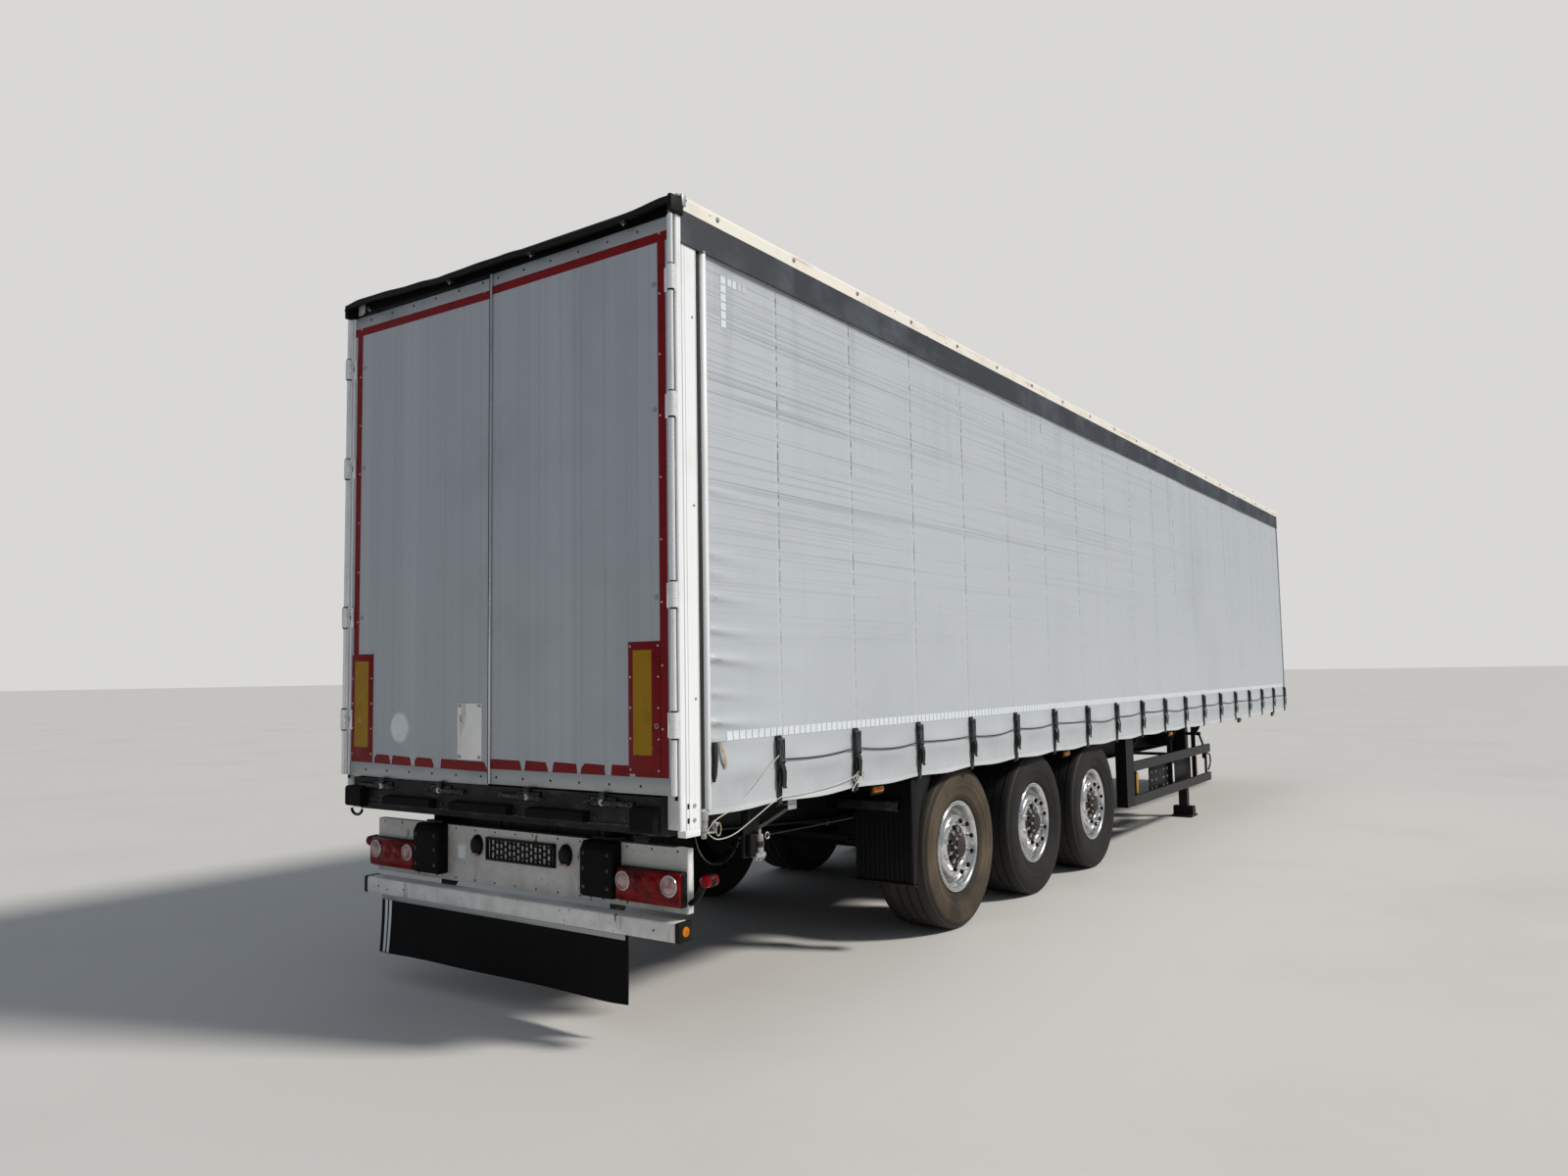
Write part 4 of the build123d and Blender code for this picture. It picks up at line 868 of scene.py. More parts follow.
def make_curtain(side_name, side):
    """One curtain with its hem, welded reflective marks and handle patch."""
    cloth = Shape("coated_curtain_cloth").patch(
        cloth_spots(CURTAIN_REAR, CURTAIN_FRONT, CURTAIN_LOW, CLOTH_TOP, side), CLOTH_THICK)
    curtain = cloth.piece(f"curtain_{side_name}", "chassis", "curtain", "curtains", smooth_angle=60)

    trims = Shape("curtain_hem_cloth", "white_reflective_tape", "black_webbing", "coated_curtain_cloth",
                  "worn_buff_webbing", "white_post_powder_coat")

    def strip(y0, y1, z0, z1, finish, lift=0.0022, step_y=0.062):
        trims.patch(cloth_spots(y0, y1, z0, z1, side, lift, step_y), 0.001, finish)

    # Rolled hem, then a black strip along the rear edge as the painted shadow of the slot, and the pale
    # batten pocket
    strip(CURTAIN_REAR, CURTAIN_FRONT, CURTAIN_LOW, CURTAIN_LOW + 0.024, 0)
    strip(CURTAIN_REAR, CURTAIN_REAR + 0.024, CURTAIN_LOW + 0.03, RAIL_LOW - 0.16, 2, 0.0026, 0.024)
    pole = [(side * (CURTAIN_X - 0.006), ahead(CURTAIN_REAR + 0.048), z)
            for z in (CURTAIN_LOW + 0.02, RAIL_LOW - 0.15)]
    trims.rod(*pole, 0.0185, 20, 5, 0.002)
    # Segmented contour tape, 50 mm cells with 6 mm gaps
    y = 0.354
    while y < CURTAIN_FRONT - 0.1:
        strip(y, y + 0.046, TAPE_LOW, TAPE_HIGH, 1, step_y=0.046)
        y += 0.052
    # Corner mark: six pale squares down and four ahead, the last two of them plain
    for index in range(6):
        strip(0.352, 0.392, CORNER_LOW - index * 0.044, CORNER_HIGH - index * 0.044, 1, 0.0018)
    for index in range(4):
        strip(0.408 + index * 0.040, 0.439 + index * 0.040, CORNER_LOW, CORNER_HIGH, 1 if index < 2 else 0,
              0.0018)
    # Pocket over the rear pole's lever: a pale frame, with the worn tongue beside the slot
    strip(0.222, 0.345, TAPE_LOW, TAPE_LOW + 0.012, 3, 0.0030)
    strip(0.222, 0.232, 1.20, TAPE_LOW, 3, 0.0030, 0.01)
    tongue = []
    for step in range(9):
        share = step / 8
        z = TAPE_LOW - 0.125 * share
        y = 0.292 + 0.040 * share ** 0.8
        out = CURTAIN_X + cloth_out(y, z, side) + 0.003 + 0.012 * sin(pi * share)
        ends = [(side * out, ahead(y + end), z) for end in (-0.010, 0.010)]
        tongue.append(ends if side > 0 else ends[::-1])
    trims.patch(tongue[::-1], 0.0015, 4)
    lever = [(0.240, 1.392), (0.268, 1.392), (0.272, 1.31), (0.262, 1.235), (0.248, 1.205), (0.238, 1.235),
             (0.244, 1.31)]
    out = CURTAIN_X + cloth_out(0.255, 1.3, side)
    trims.profile(side, lever, (out - 0.006, out + 0.013), 2, 0.003)
    trim = trims.piece(f"curtain_trim_{side_name}", "chassis", "curtain", smooth_angle=60)


def make_valance(side_name, side):
    """Dark cloth over the curtain rollers, slightly waved, with a welt along its lower edge."""
    low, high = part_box("valances")
    low = Vector((low.x, ahead(0.045), low.z))
    shape = Shape("slate_valance_cloth")
    count = 220
    spots = []
    for j in range(9):
        z = low.z + (RAIL_LOW + 0.002 - low.z) * j / 8
        line = []
        for i in range(count + 1):
            y = low.y + (high.y - low.y) * i / count
            loose = 1 - j / 8
            out = (noise.noise(Vector((y * 1.4, z * 2, side * 4))) * 0.007
                   + noise.noise(Vector((y * 5, z * 4, side))) * 0.002) * (0.25 + loose)
            line.append((side * (high.x + 0.0005 + max(out, -0.0005)), y, z))
        spots.append(line if side > 0 else line[::-1])
    shape.patch(spots, 0.0015)
    welt = [(side * (high.x + 0.002 + noise.noise(Vector((y * 1.4, low.z * 2, side * 4))) * 0.0085), y, low.z)
            for y in (low.y + (high.y - low.y) * i / count for i in range(count + 1))]
    shape.tube(welt, 0.006, 6)
    made = shape.piece(f"valance_{side_name}", "chassis", "valance", "valances", smooth_angle=60)


class TRAILER_OT_curtains(bpy.types.Operator):
    """Hang the side curtains and the valances"""
    bl_idname = "trailer.curtains"
    bl_label = "Curtains"

    def execute(self, context):
        for side_name, side in SIDES:
            make_curtain(side_name, side)
            make_valance(side_name, side)
        return {"FINISHED"}


def strap_webbing(side):
    """One strap of webbing with its hanging tail, from its upper seam down round the rail."""
    shape = Shape("black_webbing")

    def band(line, half, lean=0.0):
        rows = []
        for step, (out, z) in enumerate(line):
            shift = lean * step / (len(line) - 1)
            ends = (-half, half) if side > 0 else (half, -half)
            rows.append([(side * out, end + shift, z) for end in ends])
        shape.patch(rows[::-1], 0.0028)

    band([(0.002, 0.028), (0.006, 0.0), (0.010, -0.05), (0.011, -0.13), (0.008, -0.2)], 0.0235)
    band([(0.010, -0.19), (0.0085, -0.23), (0.007, -0.27), (0.004, -0.312), (-0.010, -0.328)], 0.0195)
    # The loose end leaves the buckle, stands off and falls to one side
    band([(0.020, -0.105), (0.031, -0.125), (0.036, -0.155), (0.032, -0.195), (0.027, -0.225),
          (0.030, -0.238)], 0.0165, 0.016)
    band([(0.014, -0.135), (0.022, -0.165), (0.020, -0.205), (0.012, -0.232)], 0.019, -0.006)
    # A stitched block at the top
    shape.box(*limits(side, 0.004, 0.0085), -0.024, 0.024, -0.03, 0.030, bevel=0.0015)
    return shape


def strap_buckle(side):
    """Over-centre buckle without its lever: back plate, cheeks, and the hook that holds the side rail."""
    shape = Shape("worn_buckle_steel")
    for x0, x1, y0, y1, z0, z1, bevel in ((0.011, 0.014, -0.024, 0.024, -0.15, 0.020, 0.0015),
                                          (0.012, 0.028, -0.0245, -0.0215, -0.115, 0.015, 0.001),
                                          (0.012, 0.028, 0.0215, 0.0245, -0.115, 0.015, 0.001),
                                          (0.004, 0.009, -0.016, 0.016, -0.318, -0.262, 0.0015)):
        shape.box(*limits(side, x0, x1), y0, y1, z0, z1, bevel=bevel)
    return shape


def strap_lever(side):
    """The buckle's lever with its turned lip and slots, and its two rollers."""
    # The lever's lighter steel is a painted highlight on the buckle
    shape = Shape("lever_steel_painted_highlight")
    lever = [(0.016, 0.016), (0.022, 0.014), (0.026, -0.060), (0.033, -0.100), (0.030, -0.104),
             (0.022, -0.070), (0.019, -0.020)]
    for y0, y1 in ((-0.020, -0.010), (-0.004, 0.004), (0.010, 0.020)):
        shape.prism([(side * out, z) for out, z in lever], "Y", y0, y1, bevel=0.001)
    for z in (0.010, -0.082):
        shape.rod((side * 0.022, -0.026, z), (side * 0.022, 0.026, z), 0.0055, 8)
    return shape


def sagging_cord(side):
    """Places of the seal cord from buckle to buckle, with a little slack in each bay."""
    body = bpy.context.scene.trailer_body
    line = []
    bay = 8
    for index in range(body.strap_count):
        y = body.strap_first + index * body.strap_pitch
        last = index == body.strap_count - 1
        droop = 0.014 + 0.009 * sin(index * 2.3)
        start_z = 1.276 + 0.010 * sin(index * 1.7)
        end_z = 1.276 + 0.010 * sin((index + 1) * 1.7)
        for step in range(1 if last else bay):
            share = step / bay
            here = y + share * body.strap_pitch
            z = start_z + (end_z - start_z) * share - droop * 4 * share * (1 - share)
            lift = 0.0185 if step == 0 else 0.006
            out = CURTAIN_X + cloth_out(here, z, side) + lift
            line.append((side * out, ahead(here), z))
    return line


RATCHET = ((1.036, 1.080, 0.0215, 20, 0.003), (1.000, 1.037, 0.0195, 18, 0.003),
           (0.990, 1.001, 0.0235, 18, 0.002), (0.955, 0.990, 0.013, 12, 0.003))


class TRAILER_OT_straps(bpy.types.Operator):
    """Make the curtain straps, buckles, seal cords and tensioners"""
    bl_idname = "trailer.straps"
    bl_label = "Straps and cords"

    def execute(self, context):
        body = context.scene.trailer_body
        for side_name, side in SIDES:
            start = (side * CURTAIN_X, ahead(body.strap_first), STRAP_HIGH)
            kinds = (("strap_webbing", strap_webbing(side), "webbing", 0.035, 4),
                     ("strap_buckles", strap_buckle(side), "webbing", 0.02, 9),
                     ("strap_levers", strap_lever(side), "bare_steel", 0.02, 9))
            for kind, shape, slot, swing, seed in kinds:
                made = row(f"{kind}_{side_name}", shape, start, (0, body.strap_pitch, 0), body.strap_count,
                           "chassis", slot, swing=(swing, 0, 0), seed=seed)
                if kind == "strap_webbing":
                    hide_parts("curtain_fittings")
            cord = Shape("black_webbing").tube(sagging_cord(side), 0.0035)
            cord.piece(f"seal_cord_{side_name}", "chassis", "webbing", smooth_angle=60)
            self.tensioner(side_name, side, body)
        return {"FINISHED"}

    def tensioner(self, side_name, side, body):
        """Ratchet at the foot of the rear pole, and the two bright strands tied to it."""
        shape = Shape("zinc_plated_steel", "bright_cord", "moulded_black_plastic", "rusty_cast_iron",
                      "worn_buff_webbing")
        x, foot = 1.272, 1.266
        for z0, z1, radius, sides, bevel in RATCHET:
            shape.post(side, foot, 0.176, (z0, z1), radius, sides, 0, bevel)
        # Pawl plate, knob and loose ring beside the ratchet
        shape.block(side, (foot - 0.004, foot + 0.004), (0.165, 0.262), (0.976, 0.990), 3, 0.002)
        shape.post(side, foot, 0.252, (0.972, 1.030), 0.012, 14, 0, 0.004)
        shape.rod(*places(side, (foot - 0.014, 0.252, 1.012), (foot + 0.022, 0.252, 1.012)), 0.010, 12, 0,
                  0.003)
        shape.tube(ring_of((side * (foot + 0.018), ahead(0.262), 0.990), 0.018, 0.030, 18), 0.0032, 6, 4)
        shape.rod(*places(side, (x, 0.172, 0.985), (x + 0.008, 0.232, 0.978)), 0.005, 8, 0, 0.002)
        shape.block(side, (x - 0.018, x - 0.004), (0.15, 0.2), (1.035, 1.075), 2, 0.003)
        out = CURTAIN_X + 0.004
        first, second = body.strap_first, body.strap_first + body.strap_pitch
        upper = ((x + 0.006, 0.19, 0.99), (out + 0.016, 0.24, 1.035), (out + 0.014, 0.38, 1.075),
                 (out + 0.012, 0.52, 1.14), (out + 0.012, 0.66, 1.235), (out + 0.02, first - 0.02, 1.30))
        lower = ((x + 0.006, 0.19, 0.98), (out + 0.014, 0.25, 0.945), (out + 0.014, 0.38, 0.952),
                 (out + 0.013, 0.55, 1.01), (out + 0.014, first, 1.088), (out + 0.009, first + 0.2, 1.082),
                 (out + 0.009, first + 0.5, 1.098), (out + 0.014, second, 1.135))
        for strand in (upper, lower):
            shape.pipe(side, strand, 5, 0.0025, 8, 1)
        # The spare end hangs in a small coil on the second strap
        turns = []
        for k in range(70):
            angle = 2 * pi * k / 22
            wide = 0.036 + 0.010 * sin(k * 0.37)
            turns.append((side * (out + 0.019 + 0.004 * sin(k * 0.21)),
                          ahead(second + 0.006) + wide * 1.25 * cos(angle),
                          1.128 + wide * 0.7 * sin(angle) - k * 0.0002))
        shape.tube(turns, 0.0026, 6, 1)
        end = places(side, (out + 0.022, second - 0.05, 1.085), (out + 0.018, second - 0.075, 1.052))
        shape.tube([turns[-1]] + end, 0.0032, 6, 1)
        shape.piece(f"tensioner_{side_name}", "chassis", "bare_steel", "curtain_fittings")


# Doors

HINGE_Z = [DOOR_LOW + rise for rise in (0.319, 0.910)] + [DOOR_TOP - drop for drop in (0.908, 0.308)]
HINGE_PIN = (SIDE - 0.011, ahead(-0.022))
HINGE_HIGH = 0.116
PLANK_FACE = ahead(0.0004)
TAPE_PARTS = {
    "right": [(-0.012, 0.230), (0.250, 0.422), (0.452, 0.624), (0.648, 0.813), (0.852, 0.970)],
    "left": [(-1.0, -0.852), (-0.84, -0.664), (-0.634, -0.47), (-0.412, -0.03)],
}
BOARDS = {"right": ((0.966, 1.164, 1.256, 1.868), (0.996, 1.112, 1.344, 1.829)),
          "left": ((-1.222, -1.020, 1.27, 1.86), (-1.190, -1.060, 1.329, 1.819))}


def door_trim(side_name, side):
    """Bare strips, contour tape and marker board of one leaf."""
    shape = Shape("milled_aluminium", "red_reflective_tape", "yellow_reflective_board",
                  "bright_anodised_trim", "moulded_black_plastic")
    inner = SEAM + side * 0.0045
    outer = side * 1.2395

    def sag(x):
        """The left leaf hangs a little lower towards the seam."""
        return 0.018 * (x / 1.24 + 1) if side < 0 else 0.0

    def plate(x0, x1, z0, z1, finish, proud, bevel=0.0):
        x0, x1 = sorted((x0, x1))
        corners = [(x0, z0 - sag(x0)), (x1, z0 - sag(x1)), (x1, z1 - sag(x1)), (x0, z1 - sag(x0))]
        shape.prism(corners, "Y", ahead(-proud), PLANK_FACE, finish, bevel)

    plate(inner, outer, DOOR_TOP - 0.066, DOOR_TOP - 0.001, 0, 0.0022, 0.0006)
    plate(inner, outer, DOOR_LOW + 0.001, DOOR_LOW + 0.078, 0, 0.0022, 0.0006)
    plate(inner, outer, DOOR_TOP - 0.112, DOOR_TOP - 0.0665, 1, 0.0012)
    plate(side * 1.163, side * 1.2115, DOOR_LOW + 0.079, DOOR_TOP - 0.112, 1, 0.0012)
    if side < 0:
        plate(-1.162, inner, DOOR_TOP - 0.0005, DOOR_TOP + 0.022, 4, 0.0016)
    # The lower tape is worn into pieces with ragged, slanting ends
    rough = random.Random(11 if side > 0 else 12)
    for x0, x1 in TAPE_PARTS[side_name]:
        low, high = DOOR_LOW + 0.0785, DOOR_LOW + 0.129
        cut = [rough.uniform(0.004, 0.03) for _ in range(2)]
        outline = [(x0, low), (x1, low), (x1 - rough.uniform(0, 0.006), low + 0.016),
                   (x1 - cut[0], high - rough.uniform(0, 0.006)), (x0 + cut[1], high),
                   (x0 + rough.uniform(0, 0.008), low + 0.03)]
        shape.prism([(x, z - sag(x)) for x, z in outline], "Y", ahead(-0.0012), PLANK_FACE, 1)
    board, field = BOARDS[side_name]
    plate(*board, 1, 0.0035, 0.0008)
    plate(*field, 2, 0.0042)
    plate(board[0] + (0.040 if side > 0 else 0), board[1], DOOR_LOW + 0.079, board[2], 1, 0.0015)
    if side > 0:
        # The right leaf laps over the left one
        plate(inner, inner + 0.014, DOOR_LOW + 0.001, DOOR_TOP - 0.001, 3, 0.010, 0.0015)
        plate(inner - 0.008, inner + 0.001, DOOR_LOW + 0.001, DOOR_TOP - 0.001, 4, 0.008, 0.001)
        plate(inner + 0.002, inner + 0.012, DOOR_LOW - 0.005, DOOR_LOW + 0.002, 4, 0.004)
    for z in HINGE_Z:
        shape.lathe([(0.0, 0.0), (0.0, 0.013), (0.004, 0.012), (0.0045, 0.0085), (0.002, 0.007), (0.002, 0)],
                    (side * 1.140, ahead(-0.0002), z - 0.005), (0, -1, 0), 14, 0)
    shape.piece(f"door_trim_{side_name}", f"door_{side_name}_leaf", "silver_panel")


def hinge_sleeves(side_name, side):
    """Bright sleeves over the hinge knuckles: the middle third turns with the leaf."""
    third = HINGE_HIGH / 3
    moving, fixed = Shape("bright_hinge_sleeve"), Shape("bright_hinge_sleeve", "moulded_black_plastic")
    x, y = side * HINGE_PIN[0], HINGE_PIN[1]
    ends = [DOOR_LOW + 0.004] + [z + way * 0.062 for z in HINGE_Z for way in (-1, 1)] + [DOOR_TOP - 0.004]
    for start, end in zip(ends[::2], ends[1::2]):
        moving.rod((x, y, start), (x, y, end), 0.0120, 20, bevel=0.002)
        moving.box(*limits(side, 1.2405, 1.256), y + 0.002, ahead(-0.010), start, end, bevel=0.001)
    for z in HINGE_Z:
        moving.rod((x, y, z - third / 2 + 0.0004), (x, y, z + third / 2 - 0.0004), 0.0212, 28, bevel=0.001)
        moving.box(*limits(side, 1.236, 1.252), y - 0.012, ahead(-0.001), z - third / 2 + 0.001,
                   z + third / 2 - 0.001, bevel=0.003)
        moving.block(side, (1.212, 1.2395), (-0.0098, -0.0002), (z - 1.5 * third, z + 1.5 * third),
                     bevel=0.003)
        for low in (z - 1.5 * third, z + 0.5 * third):
            fixed.rod((x, y, low + 0.0002), (x, y, low + third - 0.0002), 0.0212, 28, bevel=0.001)
            fixed.box(*limits(side, 1.250, 1.262), y + 0.004, ahead(0.014), low + 0.0005,
                      low + third - 0.0005, bevel=0.003)
        for end, way in ((z + 1.5 * third, 1), (z - 1.5 * third, -1)):
            fixed.rod((x, y, end - way * 0.001), (x, y, end + way * 0.007), 0.0165, 16, 1, bevel=0.002)
    # The rubber seal in the gap between leaf and post is all that shows behind the tubes
    fixed.block(side, (1.2425, 1.2572), (0.0005, 0.0095), (DOOR_LOW - 0.02, DOOR_TOP - 0.002), 1, 0.001)
    moving.piece(f"hinge_leaves_{side_name}", f"door_{side_name}_leaf", "bare_steel")
    fixed.piece(f"hinge_knuckles_{side_name}", "chassis", "bare_steel")


class TRAILER_OT_doors(bpy.types.Operator):
    """Trim the rear doors: strips, rivets, tape, boards, plates and hinges"""
    bl_idname = "trailer.doors"
    bl_label = "Rear doors"

    def execute(self, context):
        pitch = context.scene.trailer_body.rivet_pitch
        for side_name, side in SIDES:
            leaf = f"door_{side_name}_leaf"
            door_trim(side_name, side)
            hinge_sleeves(side_name, side)
            start = SEAM + side * 0.06
            count = int(abs(side * 1.23 - start) / pitch) + 1
            for level, z in (("top", DOOR_TOP - 0.032), ("low", DOOR_LOW + 0.036)):
                row(f"rivets_{level}_{side_name}", rivet(0.007, "worn_buckle_steel"),
                    (start, ahead(-0.0022), z), (side * pitch, 0, 0), count, leaf, "bare_steel")
            row(f"rivets_edge_{side_name}", rivet(0.006, "bright_anodised_trim"),
                (side * 1.176, ahead(-0.0012), DOOR_LOW + 0.30), (0, 0, 0.291), 9, leaf, "bare_steel")
            board = BOARDS[side_name][0]
            for edge, x in (("a", board[0] + 0.012), ("b", board[1] - 0.012)):
                row(f"board_rivets_{edge}_{side_name}", rivet(0.006, "bright_anodised_trim"),
                    (x, ahead(-0.0035), board[2] + 0.02), (0, 0, 0.143), 5, leaf, "bare_steel")
        plates = Shape("scuffed_white_enamel", "milled_aluminium", "white_reflective_tape")
        plates.block(1, (-0.268, -0.074), (-0.004, 0.0002), (1.283, 1.58), 0, 0.0012)
        for x in (-0.25, -0.092):
            for z in (1.298, 1.566):
                plates.block(1, (x - 0.012, x + 0.012), (-0.0065, -0.003), (z - 0.008, z + 0.008), 1, 0.001)
        # A bare round label
        plates.lathe([(0, 0), (0, 0.086), (0.0008, 0.0865), (0.0012, 0.085), (0.0012, 0.0)],
                     (-0.77, ahead(-0.0002), 1.444), (0, -1, 0), 48, 2)
        plates.lathe([(0, 0.078), (0, 0.0815), (0.0018, 0.0815), (0.0018, 0.078)],
                     (-0.77, ahead(-0.0002), 1.444), (0, -1, 0), 48, 1)
        plates.piece("door_plates", "door_left_leaf", "silver_panel")
        return {"FINISHED"}


# Roof

LIP_LINE = ((-1.32, -0.048), (-1.25, -0.014), (-1.15, -0.008), (-0.6, -0.028), (-0.38, -0.040),
            (-0.1, -0.038), (0.13, -0.036), (0.34, -0.047), (0.57, -0.050), (0.8, -0.049), (1.02, -0.044),
            (1.22, -0.029), (1.32, -0.032))


def lip_wave(x):
    """How far the roof's black edge hangs below its top, along the width."""
    for (x0, low0), (x1, low1) in zip(LIP_LINE, LIP_LINE[1:]):
        if x <= x1:
            share = (x - x0) / (x1 - x0)
            share = share * share * (3 - 2 * share)
            return low0 + (low1 - low0) * share
    return LIP_LINE[-1][1]


class TRAILER_OT_roof(bpy.types.Operator):
    """Make the black rear edge of the roof, its clips, the rail bolts and the roof cover"""
    bl_idname = "trailer.roof"
    bl_label = "Roof"

    def execute(self, context):
        self.rear_edge()
        self.rail_fittings()
        self.cover()
        return {"FINISHED"}

    def rear_edge(self):
        """A sewn tarpaulin edge that wraps a bow, drawn down over the corners."""
        low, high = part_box("rear_lip")
        shape = Shape("black_roof_edge_tarpaulin", "zinc_plated_steel", "worn_buckle_steel")
        half = high.x - 0.002
        profile = [(0.075, 0.012), (0.02, 0.010), (-0.030, 0.002), (-0.044, -0.006), (-0.050, -0.016),
                   (-0.046, -0.030), (-0.034, -0.038), (-0.022, -0.036), (-0.030, -0.028), (-0.036, -0.016),
                   (-0.028, -0.008), (0.0, -0.002), (0.075, 0.002)]
        spots = []
        count = 96
        for index in range(count + 1):
            x = -half + 2 * half * index / count
            top = high.z + lip_wave(x) - 0.004
            sway = 0.003 * sin(x * 9) + 0.002 * sin(x * 23)
            spots.append([(x, ahead(y + sway), top + (z + 0.25 * sway if z < -0.02 else z))
                          for y, z in profile])
        shape.patch([line + line[:1] for line in spots])
        # Corner caps that hang over the posts
        for side in (-1, 1):
            shape.block(side, (half - 0.026, half), (-0.045, 0.050), (DOOR_TOP + 0.003, high.z - 0.026), 0,
                        0.009, 3)
            shape.block(side, (half - 0.018, half + 0.001), (0.035, 0.066), (high.z - 0.062, high.z - 0.004),
                        1, 0.004)
        for x in (-1.05, -0.32, 0.33, 0.98):
            shape.block(1, (x - 0.016, x + 0.016), (-0.048, -0.02), (low.z + 0.006, low.z + 0.022), 2, 0.003)
            shape.rod(*places(1, (x, -0.036, low.z - 0.002), (x, -0.036, low.z + 0.012)), 0.006, 8, 1)
        shape.piece("roof_edge", "chassis", "black_rubber", "rear_lip", smooth_angle=50)

    def rail_fittings(self):
        for side_name, side in SIDES:
            row(f"rail_bolts_{side_name}", bolt(0.014, 0.008, "zinc_plated_steel", (side, 0, 0)),
                (side * (SIDE + 0.0005), ahead(0.32), RAIL_LOW + 0.042), (0, 0.662, 0), 20, "chassis",
                "bare_steel")

    def cover(self):
        """The roof cloth: tight over the bows, a little slack between them."""
        low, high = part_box("roof_skin")
        first, pitch = 0.700, 0.645
        spots = []
        for j in range(13):
            x = low.x + (high.x - low.x) * j / 12
            line = []
            for i in range(281):
                y = low.y + (high.y - low.y) * i / 280
                bay = abs(((y - DOORS - first) / pitch) % 1.0 - 0.5) * 2
                sag = 0.010 * (1 - bay ** 4) * sin(pi * (j + 0.5) / 13)
                line.append((x, y, high.z + 0.004 * sin(pi * j / 12) - sag))
            spots.append(line)
        made = Shape("roof_tarpaulin").patch(spots[::-1], 0.0012)
        made = made.piece("roof_cover", "chassis", "roof_cover", "roof_skin", smooth_angle=60)


# Rear frame, lights and underrun beam

LATCHES = (-0.894, -0.387, 0.296, 0.815)


